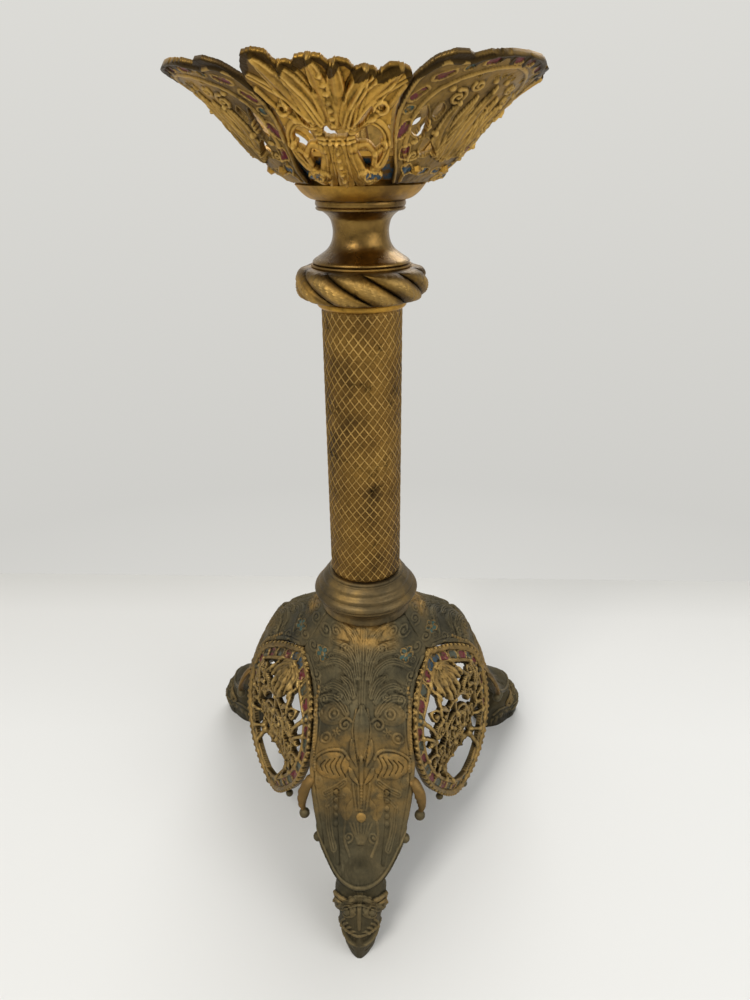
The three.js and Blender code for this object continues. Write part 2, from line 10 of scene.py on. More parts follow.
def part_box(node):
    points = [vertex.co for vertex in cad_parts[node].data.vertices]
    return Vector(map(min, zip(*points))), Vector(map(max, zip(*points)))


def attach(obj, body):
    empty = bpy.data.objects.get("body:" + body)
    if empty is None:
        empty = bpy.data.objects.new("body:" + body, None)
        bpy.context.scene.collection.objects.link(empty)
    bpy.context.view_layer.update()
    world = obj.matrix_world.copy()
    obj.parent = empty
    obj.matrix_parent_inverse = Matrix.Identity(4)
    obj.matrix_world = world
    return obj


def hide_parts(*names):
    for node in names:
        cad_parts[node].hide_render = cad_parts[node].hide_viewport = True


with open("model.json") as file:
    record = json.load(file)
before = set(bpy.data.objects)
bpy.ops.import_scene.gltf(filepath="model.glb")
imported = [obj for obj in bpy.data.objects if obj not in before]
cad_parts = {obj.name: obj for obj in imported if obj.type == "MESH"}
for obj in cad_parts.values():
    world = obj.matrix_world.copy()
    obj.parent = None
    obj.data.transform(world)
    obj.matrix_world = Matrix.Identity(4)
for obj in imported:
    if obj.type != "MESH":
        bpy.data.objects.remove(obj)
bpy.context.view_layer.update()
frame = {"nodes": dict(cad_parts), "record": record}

# The work below is in millimetres about the stem's axis, with the floor at zero.
MM = 0.001
column_low, column_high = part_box("column")
STEM_Y = (column_low[1] + column_high[1]) / 2
PAN_TURN = -7
LEGS = {"front": -90, "right": 30, "left": 150}
PANELS = {"right": -30, "rear": 90, "left": 210}
# The stem's turned pieces leave room for the tie rod inside this radius.
BORE = 3.4
LEG_WALL, MEDALLION_WALL, PAN_WALL = 3.4, 2.4, 1.9
PAN_LEAF_FOOT = 351.9

CRIMSON = (0.115, 0.003, 0.007)
TEAL = (0.020, 0.060, 0.046)
MOSS = (0.050, 0.058, 0.036)
NAVY = (0.012, 0.045, 0.075)


# Curves and fields

def curve_points(stations, steps):
    """A smooth curve through the stations, with the given number of steps along it."""
    p = np.array(stations, float)
    p = np.vstack([2 * p[0] - p[1], p, 2 * p[-1] - p[-2]])
    along = np.linspace(0, len(stations) - 1, steps + 1)
    i = np.minimum(along.astype(int), len(stations) - 2)
    w = (along - i)[:, None]
    a, b, c, d = p[i], p[i + 1], p[i + 2], p[i + 3]
    gap = lambda m, n: np.maximum(np.sum((m - n) ** 2, axis=1) ** 0.25, 1e-4)[:, None]
    ab, bc, cd = gap(a, b), gap(b, c), gap(c, d)
    start = ((b - a) / ab - (c - a) / (ab + bc) + (c - b) / bc) * bc
    end = ((c - b) / bc - (d - b) / (bc + cd) + (d - c) / cd) * bc
    return (b + start * w + (3 * (c - b) - 2 * start - end) * w ** 2
            + (2 * (b - c) + start + end) * w ** 3)


def lengths(line):
    return np.concatenate([[0], np.cumsum(np.linalg.norm(np.diff(line, axis=0), axis=1))])


def spaced(points, gap):
    """Places a set distance apart along a curve."""
    line = curve_points(points, 12 * (len(points) - 1))
    length = lengths(line)
    stops = np.linspace(0, length[-1], max(2, int(round(length[-1] / gap)) + 1))
    return np.stack([np.interp(stops, length, line[:, k]) for k in range(line.shape[1])], axis=-1)


def bulge(share):
    """A half-round profile over a stroke or a boss, and nothing beyond it."""
    return np.sqrt(np.clip(1 - share ** 2, 0, 1))


def winding(x, y, radius, turns, start):
    """A line that winds in towards a place."""
    turn = np.linspace(0, 1, 5 + int(abs(turns) * 8))
    angle = math.radians(start) + turn * turns * 2 * math.pi
    reach = radius * (1 - 0.8 * turn)
    return np.stack([x + reach * np.cos(angle), y + reach * np.sin(angle)], axis=-1)


def circle_rows(radius, height, phi):
    """Places round the axis, for each angle."""
    return np.stack([radius * np.cos(phi), radius * np.sin(phi), height + 0 * phi], axis=-1)


def smooth_step(x, low, high):
    t = np.clip((x - low) / (high - low), 0, 1)
    return t * t * (3 - 2 * t)


def blurred(values, times):
    for _ in range(times):
        padded = np.pad(values, 1, mode="edge")
        values = (padded[:-2, 1:-1] + padded[2:, 1:-1] + padded[1:-1, :-2] + padded[1:-1, 2:]
                  + 4 * values) / 8
    return values


class Relief:
    """Ornament on a sheet: where each point of the sheet lies, and how high it stands there."""

    def __init__(self, x, y):
        self.x, self.y = x, y
        self.height = np.zeros(x.shape)
        self.gold = np.zeros(x.shape)
        self.enamel = np.zeros(x.shape)
        self.colour = np.zeros(x.shape + (3,))
        self.open = np.zeros(x.shape, bool)

    def stroke(self, points, wide, narrow=None, steps=5, margin=1.0):
        """How far each place is from a drawn line, as a share of its half width, and where along it."""
        line = curve_points(points, steps * (len(points) - 1))
        narrow = wide if narrow is None else narrow
        reach = max(wide, narrow) * margin
        low, high = line.min(axis=0) - reach, line.max(axis=0) + reach
        box = (self.x > low[0]) & (self.x < high[0]) & (self.y > low[1]) & (self.y < high[1])
        x, y = self.x[box], self.y[box]
        share, place = np.full(x.shape, 9.0), np.zeros(x.shape)
        for k in range(len(line) - 1):
            (x0, y0), (x1, y1) = line[k], line[k + 1]
            length = (x1 - x0) ** 2 + (y1 - y0) ** 2 + 1e-9
            t = np.clip(((x - x0) * (x1 - x0) + (y - y0) * (y1 - y0)) / length, 0, 1)
            at = (k + t) / (len(line) - 1)
            near = np.hypot(x - x0 - t * (x1 - x0), y - y0 - t * (y1 - y0)) / (wide + (narrow - wide) * at)
            closer = near < share
            share[closer], place[closer] = near[closer], at[closer]
        return box, share, place

    def ridge(self, points, wide, rise, narrow=None, gold=None):
        box, share, _ = self.stroke(points, wide, narrow)
        self.height[box] += rise * bulge(share)
        self.gild(box, share, gold)

    def gild(self, box, share, gold):
        """Gilds a stroke, where a share of gold is given."""
        if gold is not None:
            self.gold[box] = np.where(share < 1, gold, self.gold[box])

    def groove(self, points, wide, depth, narrow=None):
        self.ridge(points, wide, -depth, narrow)

    def bundle(self, points, gap, count, wide, rise, gold=None):
        """Fine ridges that run side by side along a line."""
        box, share, _ = self.stroke(points, gap * count / 2)
        off = share * count / 2
        lines = bulge(((off + 0.5 * (count % 2)) % 1 - 0.5) * gap / wide)
        inside = share < 1
        self.height[box] += np.where(inside, rise * lines, 0)
        if gold is not None:
            self.gold[box] = np.where(inside, np.maximum(self.gold[box], gold * lines), self.gold[box])

    def leaf(self, points, half, rise, ribs=2, gold=None, notches=0, blunt=0.6):
        """A pointed leaf along a line, with ribs that follow it and notches in its edge."""
        box, share, place = self.stroke(points, half)
        width = np.sin(np.pi * np.clip(place, 0.02, 0.98) ** 0.75) ** blunt
        width *= 1 - 0.22 * np.abs(np.sin(np.pi * place * notches)) if notches else 1
        share = share / np.maximum(width, 0.05)
        body = bulge(share) * (1 - 0.30 * np.cos(np.pi * (1 + 2 * ribs * share)) * (share < 1))
        self.height[box] = np.where(share < 1, self.height[box] * 0.4 + rise * (0.35 + 0.65 * body),
                                    self.height[box])
        self.gild(box, share, gold)

    def boss(self, x, y, across, along, rise, gold=None, rings=0):
        share = np.hypot((self.x - x) / across, (self.y - y) / along)
        inside = share < 1
        swell = rise * bulge(share[inside])
        if rings:
            swell *= 1 + 0.18 * np.cos(2 * np.pi * rings * share[inside])
        self.height[inside] += swell
        if gold is not None:
            self.gold[inside] = gold

    def ring(self, x, y, radius, wide, rise, dot=0.0, gold=None):
        share = np.abs(np.hypot(self.x - x, self.y - y) - radius) / wide
        self.height += rise * bulge(share)
        if gold is not None:
            self.gold[share < 1] = gold
        if dot:
            self.boss(x, y, dot, dot, rise, gold)

    def beads(self, points, radius, gap, rise, gold=None):
        for x, y in spaced(points, gap):
            self.boss(x, y, radius, radius, rise, gold)

    def scroll(self, x, y, radius, turns, wide, rise, start, gold=None):
        """A line that winds in to a small round eye."""
        self.ridge(winding(x, y, radius, turns, start), wide, rise, wide * 0.6, gold)
        self.boss(x, y, wide * 1.2, wide * 1.2, rise, gold)

    def cell(self, x, y, half_long, half_wide, degrees, colour, sunk=0.45):
        """A sunk field filled with enamel, inside a thin raised wall."""
        c, s = math.cos(math.radians(degrees)), math.sin(math.radians(degrees))
        along = ((self.x - x) * c + (self.y - y) * s) / half_long
        across = ((self.y - y) * c - (self.x - x) * s) / half_wide
        share = (np.abs(along) ** 3 + np.abs(across) ** 3) ** (1 / 3)
        wall = np.abs(share - 1.2) < 0.18
        inside = share < 1.03
        self.height[wall] += 0.3
        self.height[inside] = self.height[inside] - sunk + 0.2 * bulge(share[inside])
        self.paint(inside, colour)
        self.gold[wall] = np.maximum(self.gold[wall], 0.9)

    def paint(self, where, colour):
        self.enamel[where] = 1
        self.colour[where] = colour

    def openwork(self, where, least=0.22):
        """Leaves only the drawn lines inside a region, where they hang together with the rest."""
        solid = ~(where & (self.height < least)) & ~self.open
        joined = solid & ~where
        while True:
            wider = joined.copy()
            wider[1:] |= joined[:-1]
            wider[:-1] |= joined[1:]
            wider[:, 1:] |= joined[:, :-1]
            wider[:, :-1] |= joined[:, 1:]
            wider &= solid
            if (wider == joined).all():
                break
            joined = wider
        self.open = ~joined

    def cast_skin(self, seed, rough=0.12):
        """The fine unevenness that a casting keeps."""
        grain = np.random.default_rng(seed).normal(size=self.height.shape)
        self.height += rough * (0.5 * blurred(grain, 2) + 3 * blurred(grain, 24))

    def opening(self, points, half, blunt=0.5, lip=0.9):
        """A lens-shaped opening along a line, with a thin raised lip."""
        box, share, place = self.stroke(points, half, margin=1 + lip / half)
        width = np.sin(np.pi * np.clip(place, 0.03, 0.97)) ** blunt
        self.open[box] |= share < width
        near = (share - width - 0.5 * lip / half) * half / (0.5 * lip)
        self.height[box] += 0.35 * bulge(near)

    def hole(self, x, y, radius, lip=0.8):
        away = np.hypot(self.x - x, self.y - y)
        self.open |= away < radius
        self.height += 0.35 * bulge((away - radius - lip / 2) / (lip / 2))


# Meshes

def standing(turn=0):
    """From millimetres about the stem, turned by some degrees, to metres in the row's frame."""
    return (Matrix.Translation((0, STEM_Y, 0)) @ Matrix.Rotation(math.radians(turn), 4, "Z")
            @ Matrix.Scale(MM, 4))


def placed(name, data):
    """A new object in the scene."""
    thing = bpy.data.objects.new(name, data)
    bpy.context.scene.collection.objects.link(thing)
    return thing


def finished(name, mesh, material, replaced=(), turn=0, sharp=None):
    """A piece from a mesh in millimetres, put in its place."""
    mesh.transform(standing(turn))
    piece = placed(name, mesh)
    mesh.materials.append(material)
    mesh.shade_smooth()
    if sharp:
        mesh.set_sharp_from_angle(angle=math.radians(sharp))
    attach(piece, "root")
    if replaced:
        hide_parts(*replaced)
    return piece


def made(shape, name):
    """A mesh from a finished bmesh, with its seams merged and its faces outwards."""
    bmesh.ops.remove_doubles(shape, verts=shape.verts, dist=1e-4)
    bmesh.ops.recalc_face_normals(shape, faces=shape.faces)
    mesh = bpy.data.meshes.new(name)
    shape.to_mesh(mesh)
    shape.free()
    return mesh


def laid_grid(points):
    """A grid of faces laid on the given places, with the number of each place kept on its point."""
    rows, columns = points.shape[:2]
    shape = bmesh.new()
    bmesh.ops.create_grid(shape, x_segments=columns - 1, y_segments=rows - 1, size=1)
    spot = shape.verts.layers.int.new("spot")
    for i, (vertex, place) in enumerate(zip(shape.verts, points.reshape(-1, 3).tolist())):
        vertex[spot] = i
        vertex.co = place
    return shape, spot


def sheet_normals(points, wrap=False):
    """Directions straight off a sheet. A wrapped sheet's last column lies on its first."""
    down = np.gradient(points, axis=0)
    across = np.gradient(points, axis=1)
    if wrap:
        across[:, 0] = across[:, -1] = points[:, 1] - points[:, -2]
    normal = np.cross(down, across)
    return normal / np.maximum(np.linalg.norm(normal, axis=-1, keepdims=True), 1e-9)


def cast(name, points, relief, wall, wrap=False):
    """A sheet raised by its relief and cut where it is open, with a wall's thickness behind."""
    rows, columns = relief.height.shape
    total = rows * columns
    normal = sheet_normals(points, wrap)
    shape, spot = laid_grid(points + normal * relief.height[..., None])
    if relief.open.any():
        gone = relief.open.ravel().tolist()
        holes = [f for f in shape.faces if sum(gone[v[spot]] for v in f.verts) > 1]
        bmesh.ops.delete(shape, geom=holes, context="FACES")
        border = {v for v in shape.verts if v.is_boundary and 0 < v[spot] % columns < columns - 1
                  and columns <= v[spot] < total - columns}
        for _ in range(3):
            bmesh.ops.smooth_vert(
                shape, verts=list(border), factor=0.5, use_axis_x=True, use_axis_y=True, use_axis_z=True)
    if wall:
        inward = (-normal * (wall + relief.height[..., None])).reshape(-1, 3).tolist()
        grown = bmesh.ops.extrude_face_region(shape, geom=shape.faces[:], use_keep_orig=True)["geom"]
        for vertex in (v for v in grown if isinstance(v, bmesh.types.BMVert)):
            vertex.co += Vector(inward[vertex[spot]])
            vertex[spot] += total
    mesh = made(shape, name)
    number = np.zeros(len(mesh.vertices), np.int32)
    mesh.attributes["spot"].data.foreach_get("value", number)
    mesh.attributes.remove(mesh.attributes["spot"])
    bare = np.zeros(total)
    gather = lambda values: np.concatenate([values.ravel(), bare])[number]
    # height above the blurred surroundings: the metal paints shade where this is low, and wear where it is
    # high
    store_layer(mesh, "ridge", gather(relief.height - blurred(relief.height, 10)))
    store_layer(mesh, "gold", gather(relief.gold))
    store_layer(mesh, "enamel", gather(relief.enamel))
    channels = [gather(relief.colour[..., k]) for k in range(3)]
    store_layer(mesh, "paint", np.stack(channels + [np.ones(len(number))], axis=-1))
    return mesh


def castings(name, mesh, turns, material, node=None):
    """One casting set at each turn, in place of the node of that place."""
    for place, turn in turns.items():
        replaced = [f"{node}_{place}"] if node else ()
        finished(f"{name}_{place}", mesh.copy(), material, replaced, turn)
    bpy.data.meshes.remove(mesh)


def store_layer(mesh, name, values):
    kind = "FLOAT" if values.ndim == 1 else "FLOAT_COLOR"
    layer = mesh.attributes.new(name, kind, "POINT")
    layer.data.foreach_set("value" if kind == "FLOAT" else "color", values.astype(np.float32).ravel())


def vertex_places(mesh):
    place = np.zeros(3 * len(mesh.vertices), np.float32)
    mesh.vertices.foreach_get("co", place)
    return place.reshape(-1, 3)


def turned(name, outline, material, replaced, enamel=None):
    """A turned piece. Its outline goes straight to a point, and in a smooth curve through a list of them."""
    line = outline[:1]
    for step in outline[1:]:
        if isinstance(step, tuple):
            line.append(step)
        else:
            line += curve_points([line[-1], *step], 5 * len(step)).tolist()[1:]
    shape = bmesh.new()
    corners = [shape.verts.new((r, 0, z)) for r, z in line]
    edges = [shape.edges.new((a, b)) for a, b in zip(corners, corners[1:] + corners[:1])]
    bmesh.ops.spin(shape, geom=corners + edges, cent=(0, 0, 0), axis=(0, 0, 1), angle=2 * math.pi,
                   steps=128, use_merge=True)
    mesh = made(shape, name)
    if enamel:
        low, high, inner, colour = enamel
        x, y, z = vertex_places(mesh).T
        painted = (z > low) & (z < high) & (np.hypot(x, y) > inner)
        store_layer(mesh, "enamel", painted.astype(float))
        store_layer(mesh, "paint", np.tile((*colour, 1.0), (len(painted), 1)))
    return finished(name, mesh, material, replaced, sharp=32)


def berries(name, places, turn):
    """Small round berries, as one piece. Each has a place and a radius."""
    shape = bmesh.new()
    for place, radius in places:
        bmesh.ops.create_uvsphere(
            shape, u_segments=18, v_segments=9, radius=radius, matrix=Matrix.Translation(place))
    return finished(name, made(shape, name), patina, turn=turn)


def bar(name, stations, radii, material, turn, flat=1.0, steps=36, teeth=0):
    """A closed bar along a curve, with a radius at each station and a flattened or toothed section."""
    line = curve_points(stations, steps)
    along = np.linspace(0, 1, steps + 1)
    radius = np.interp(along, np.linspace(0, 1, len(radii)), radii)
    forward = np.gradient(line, axis=0)
    forward /= np.linalg.norm(forward, axis=1, keepdims=True)
    side = np.cross(forward, [0.3, 0, 1])
    side /= np.linalg.norm(side, axis=1, keepdims=True)
    other = np.cross(forward, side)
    angle = np.linspace(0, 2 * math.pi, 18, endpoint=False)
    jag = 1 + 0.18 * np.abs(np.sin(np.pi * teeth * along))[:, None] * np.maximum(np.cos(angle), 0)
    reach = (radius[:, None] * jag)[..., None]
    points = line[:, None] + reach * (side[:, None] * np.cos(angle)[:, None]
                                      + other[:, None] * np.sin(angle)[:, None] * flat)
    middle = points.mean(axis=1, keepdims=True)
    ends = [np.repeat(middle[k:k + 1], len(angle), axis=1) for k in (0, steps)]
    points = np.concatenate([ends[0], points, ends[1]])
    shape, spot = laid_grid(np.concatenate([points, points[:, :1]], axis=1))
    shape.verts.layers.int.remove(spot)
    return finished(name, made(shape, name), material, turn=turn)


# Materials

class Shading:
    """Short hand for wiring one node tree."""

    def __init__(self, tree, place="Object"):
        self.tree = tree
        self.place = self.node("TexCoord", place)

    def node(self, kind, output, inputs=None, **settings):
        """One output of a new node. Its inputs are values, or come from other nodes."""
        node = self.tree.nodes.new("ShaderNode" + kind)
        for name, value in settings.items():
            setattr(node, name, value)
        for name, value in (inputs or {}).items():
            if isinstance(value, bpy.types.NodeSocket):
                self.tree.links.new(value, node.inputs[name])
            else:
                node.inputs[name].default_value = (*value, 1) if isinstance(value, tuple) else value
        return node.outputs[output]

    def layer(self, name, output="Fac"):
        return self.node("Attribute", output, attribute_name=name)

    def noise(self, scale, detail=4, roughness=0.55):
        return self.node("TexNoise", "Fac", {
            "Vector": self.place, "Scale": scale, "Detail": detail, "Roughness": roughness})

    def ramp(self, factor, stops):
        tones = self.node("ValToRGB", "Color", {"Fac": factor})
        elements = tones.node.color_ramp.elements
        while len(elements) < len(stops):
            elements.new(0.5)
        for element, (position, colour) in zip(elements, stops):
            element.position = position
            element.color = (*colour, 1)
        return tones

    def between(self, factor, low, high, out_low=0, out_high=1):
        return self.node("MapRange", "Result", {
            "Value": factor, "From Min": low, "From Max": high, "To Min": out_low, "To Max": out_high})

    def mix(self, factor, a, b):
        return self.node("Mix", 2, {"Factor": factor, 6: a, 7: b}, data_type="RGBA")

    def math(self, operation, a, b):
        return self.node("Math", 0, {0: a, 1: b}, operation=operation, use_clamp=operation == "SUBTRACT")

    def feed(self, node, **sources):
        """Links into a node that the tree came with."""
        for name, source in sources.items():
            self.tree.links.new(source, self.tree.nodes[node].inputs[name.replace("_", " ")])


def new_material(name):
    material = bpy.data.materials.new(name)
    material.use_nodes = True
    return material, Shading(material.node_tree)


def metal(name, light, middle, dark, wear, roughness, crevice_shade=0.5, spots=0.0, gold=(0.42, 0.25, 0.065),
          worn=0.7):
    """A casting's metal: patches of its tones, worn gilding, painted shade in the crevices, and enamel where
    painted.
    """
    material, s = new_material(name)
    shade = lambda share: tuple(c * share for c in dark)
    patches = s.noise(38, 6, 0.62)
    tone = s.ramp(patches, [(0.34, dark), (0.5, middle), (0.68, light)])
    fine = s.noise(420, 3, 0.6)
    tone = s.mix(s.between(fine, 0.35, 0.75, 0.0, 0.35), tone, dark)
    kept = s.between(s.noise(150, 5, 0.65), 0.36, 0.56, 0.25, 1.0)
    kept = s.math("MULTIPLY", kept, s.between(s.noise(24, 3, 0.5), 0.34, 0.62, 0.35, 1.0))
    tone = s.mix(s.math("MULTIPLY", s.layer("gold"), kept), tone, gold)
    ridge = s.layer("ridge")
    # painted shade: low places in the relief are darkened, as if shade fell in them
    tone = s.mix(s.between(ridge, -0.02, -0.30, 0.0, crevice_shade), tone, shade(0.16))
    tone = s.mix(s.between(ridge, 0.05, 0.45, 0.0, worn), tone, wear)
    # where the gold layer is below zero the tone darkens; along the drip pan's top edges this is painted
    # shade
    tone = s.mix(s.between(s.layer("gold"), 0, -1), tone, shade(0.3))
    if spots:
        tarnish = s.noise(95, 5, 0.7)
        tone = s.mix(s.between(tarnish, 0.58, 0.70, 0.0, spots), tone, shade(0.12))
    mask = s.math("MULTIPLY", s.layer("enamel"), s.between(s.noise(330, 4, 0.6), 0.41, 0.53))
    rough = s.between(s.noise(70, 4), 0.3, 0.7, roughness - 0.08, roughness + 0.12)
    rough = s.math("SUBTRACT", rough, s.between(mask, 0, 1, 0, roughness * 0.3))
    bump = s.node("Bump", "Normal", {"Strength": 0.45, "Distance": 0.0004, "Height": s.noise(750, 5, 0.7)})
    s.feed("Principled BSDF", Base_Color=s.mix(mask, tone, s.layer("paint", "Color")),
           Metallic=s.between(mask, 0, 1, 1, 0), Roughness=rough, Normal=bump)
    return material


gilt = metal(
    "gilt", (0.62, 0.345, 0.06), (0.48, 0.265, 0.045), (0.17, 0.095, 0.026), (0.76, 0.49, 0.14), 0.42,
    crevice_shade=0.75, spots=0.45, gold=(0.64, 0.38, 0.088))
lattice_gilt = metal(
    "lattice_gilt", (0.26, 0.145, 0.034), (0.185, 0.1, 0.025), (0.07, 0.04, 0.014), (0.74, 0.48, 0.16),
    0.44, crevice_shade=0.6, spots=0.85, gold=(0.5, 0.31, 0.09))
pan_gilt = metal(
    "pan_gilt", (0.44, 0.26, 0.062), (0.29, 0.175, 0.045), (0.1, 0.062, 0.025), (0.68, 0.45, 0.14), 0.46,
    crevice_shade=0.8, spots=0.65, gold=(0.5, 0.3, 0.075))
knop_gilt = metal(
    "knop_gilt", (0.35, 0.2, 0.045), (0.2, 0.115, 0.028), (0.09, 0.055, 0.02), (0.55, 0.37, 0.13), 0.48,
    crevice_shade=0.9, spots=0.75, gold=(0.52, 0.31, 0.075))
patina = metal(
    "patina", (0.145, 0.11, 0.055), (0.104, 0.086, 0.048), (0.052, 0.047, 0.031), (0.23, 0.175, 0.085),
    0.58, crevice_shade=0.75, gold=(0.36, 0.215, 0.062), worn=0.55)
collar_patina = metal(
    "collar_patina", (0.28, 0.175, 0.055), (0.135, 0.095, 0.044), (0.06, 0.048, 0.028), (0.25, 0.17, 0.07),
    0.46, spots=0.5, gold=(0.3, 0.185, 0.06))
medallion_gilt = metal(
    "medallion_gilt", (0.2, 0.135, 0.05), (0.125, 0.088, 0.038), (0.055, 0.043, 0.025),
    (0.38, 0.26, 0.095), 0.5, crevice_shade=0.85, gold=(0.36, 0.225, 0.07))
crocket_gilt = metal(
    "crocket_gilt", (0.24, 0.14, 0.045), (0.15, 0.095, 0.036), (0.06, 0.045, 0.025),
    (0.36, 0.22, 0.07), 0.5, crevice_shade=0.85)
brass = metal(
    "brass", (0.33, 0.2, 0.055), (0.22, 0.13, 0.035), (0.085, 0.05, 0.018),
    (0.45, 0.3, 0.1), 0.24, spots=0.45)
iron = metal(
    "iron", (0.16, 0.14, 0.12), (0.1, 0.09, 0.08), (0.05, 0.045, 0.04), (0.3, 0.28, 0.25), 0.5)

NODE_MATERIALS = {"gilt": gilt, "brass": brass, "patina": patina, "iron": iron}
for entry in frame["record"]["subparts"]:
    node = frame["nodes"][entry["node"]]
    for slot in node.material_slots:
        slot.material = NODE_MATERIALS[entry["material_slot"]]


# Legs. The surface is worked out across and along the crest, and its ornament is the same on both sides

MEDALLION_RIM = [[39.2, 0.8, 114], [44.6, 22, 105.4], [51, 36, 95.5], [56.4, 42, 79.6],
                 [62.4, 38.8, 59], [66.2, 26.6, 42], [67, 14, 31.4], [66.8, 1.2, 26.6]]
LEG_UNDER_COLLAR = [[23, 133], [26, 132.9], [32, 127.6], [40, 121]]
VALLEY_DROP = [0, 0.6, 3.4, 5.6]
LEG_SHOULDER = [[48, 116.4, 109], [55, 112.4, 104], [61.5, 107.4, 98], [68, 99.2, 89], [73, 87.6, 79]]
LEG_SHANK = [[77.2, 74, 71.5, 27.2, 69], [81.8, 62.6, 77.5, 25.6, 58], [87.5, 52.6, 84, 23.3, 48.5],
             [93.5, 45, 90.5, 21.6, 41], [99, 40.4, 96.5, 19, 35.5], [104, 37.6, 101.6, 16.9, 31.6],
             [109.5, 34.4, 105.4, 14.8, 28]]
rim_line = curve_points(MEDALLION_RIM, 280)


def rim_at(height):
    """Distance from the axis and half width of a medallion's rim at a height."""
    return (np.interp(-height, -rim_line[:, 2], rim_line[:, 0]),
            np.interp(-height, -rim_line[:, 2], rim_line[:, 1]))


def beside_medallion(outward, across, height):
    c, s = 0.5, math.sqrt(0.75)
    return [outward * c + across * s, outward * s - across * c, height]


def leg_surface(rows=290, columns=160):
    crest, edge = [], []
    for i, (r, z) in enumerate(LEG_UNDER_COLLAR):
        crest.append([r, 0, z])
        edge.append(beside_medallion(r - 0.3 * i, 0.6, z - VALLEY_DROP[i]))
    for r, z, rim_height in LEG_SHOULDER:
        distance, half = rim_at(rim_height)
        crest.append([r, 0, z])
        edge.append(beside_medallion(distance, half + 1.2, rim_height))
    for r, z, edge_r, half, edge_z in LEG_SHANK:
        crest.append([r, 0, z])
        edge.append([edge_r, half, edge_z])
    crest, edge = curve_points(crest, 640), curve_points(edge, 640)
    along = lengths(crest)
    stops = np.linspace(0, along[-1], rows)
    crest, edge = (np.stack([np.interp(stops, along, line[:, k]) for k in range(3)], axis=-1)[:, None]
                   for line in (crest, edge))
    f = np.linspace(-1, 1, columns)[None, :]
    mix = lambda k, power: crest[..., k] + (edge[..., k] - crest[..., k]) * np.abs(f) ** power
    points = np.stack([mix(0, 2), edge[..., 1] * f, mix(2, 1.7)], axis=-1)
    return points, np.abs(points[..., 1]), stops[:, None] + 0 * f, np.abs(f) + 0 * stops[:, None]


def leg_hem(leg, hem):
    """A raised hem along both edges, with a thin line inside it."""
    s = leg.y
    leg.height += 0.8 * bulge((hem - 1.2) / 1.2) * (s > 24) * (s < 122)
    leg.gold[(np.abs(hem - 1.3) < 1) & (s > 40) & (s < 80)] = 0.6
    leg.height += 0.35 * bulge((hem - 3.4) / 0.5) * (s > 24) * (s < 118)


def leg_shoulder(leg):
    """The midrib, and the shoulder's broad leaf with its scrolls and rings."""
    leg.ridge([(0, 0), (0, 24), (0, 47)], 1.9, 0.8)
    leg.groove([(0.7, 2), (0.7, 24), (0.6, 46)], 0.35, 0.4)
    for line in ([(4.4, 35.7), (7.5, 25.5), (14, 22), (25, 27)], [(4.6, 39.8), (7.2, 33), (11.5, 29.5)],
                 [(6.8, 42), (9.9, 36.8), (15.6, 34.4), (20, 36)],
                 [(7.5, 48), (10, 43.8), (15.3, 40), (25, 41.5)],
                 [(2.6, 30), (4.4, 20), (8.5, 14), (17, 12.4)], [(2.4, 20), (3.8, 12), (7, 6), (12, 3)]):
        leg.leaf(line, 3.6, 0.9, ribs=2, notches=3)
        leg.bundle(line, 1.15, 3, 0.42, 0.4)
    for line in ([(6, 21), (10, 17.5), (16, 17)], [(3.4, 14), (5, 9), (8.6, 6.6)]):
        leg.bundle(line, 1.1, 2, 0.4, 0.45)
    for x, y in ((22.2, 18), (26.5, 24), (21.6, 36.6), (29, 31), (17.5, 20.2), (24, 33.8)):
        leg.ring(x, y, 1.25, 0.4, 0.5, dot=0.5)
    for x, y, radius, turns, start in (
            (21.5, 8.5, 3.4, 1.5, 30), (28.5, 18.5, 3, -1.4, 200), (15.4, 7.2, 2.6, 1.4, 200),
            (25.2, 30.5, 2.6, 1.4, 0), (19.6, 41, 2.4, -1.4, 90), (9.6, 14.6, 2.4, -1.4, 20),
            (23.2, 46.6, 2.2, 1.4, 180), (12, 39.4, 2, 1.4, 0)):
        leg.scroll(x, y, radius, turns, 0.7, 0.6, start)


def leg_bosses(leg):
    """A pointed bud over a stem, and beside it shell bosses, stars and scroll leaves."""
    leg.leaf([(0, 45), (0, 58), (0, 72)], 3.9, 1.5, ribs=1)
    leg.ridge([(2.9, 46), (4.6, 57), (1.6, 71)], 0.5, 0.6, gold=0.5)
    leg.ridge([(0, 70), (0, 85)], 1.2, 0.9)
    leg.boss(14.2, 47.3, 8, 5.2, 0.8, 0.25, rings=3)
    leg.ring(14.2, 47.3, 2.4, 0.5, 0.5, dot=1, gold=0.4)
    for turn in range(6):
        a = math.radians(60 * turn + 20)
        leg.ridge([(13 + 0.6 * math.cos(a), 56.4 + 0.6 * math.sin(a)),
                   (13 + 2.1 * math.cos(a), 56.4 + 2.1 * math.sin(a))], 0.45, 0.5, gold=0.5)
    leg.ring(18.6, 58.4, 2.6, 0.6, 0.6, dot=1.1, gold=0.5)
    leg.scroll(8.4, 53, 3.4, 1.4, 0.75, 0.7, start=200, gold=0.4)
    leg.boss(15.3, 74.6, 9, 7.7, 1.4, 0.85)
    for k in range(5):
        leg.groove([(8.2 + 2.6 * k, 69 + 0.6 * k), (10.4 + 2.7 * k, 74.5),
                    (8.2 + 3 * k, 81.4 - 0.9 * k)], 0.45, 0.75)
    leg.ridge([(6.6, 71), (9.4, 66.4), (17, 65.6), (24, 70), (24.6, 78)], 0.8, 0.9, gold=0.8)
    leg.leaf([(5, 61), (4.4, 68), (2.4, 75)], 1.5, 0.9, ribs=0, gold=0.85)
    leg.leaf([(6.2, 76), (4.4, 81), (1.6, 85)], 1.3, 0.9, ribs=0, gold=0.85)
    leg.beads([(23.6, 36), (24.6, 50), (25.2, 62), (24.2, 76)], 0.75, 1.8, 0.6, 0.9)


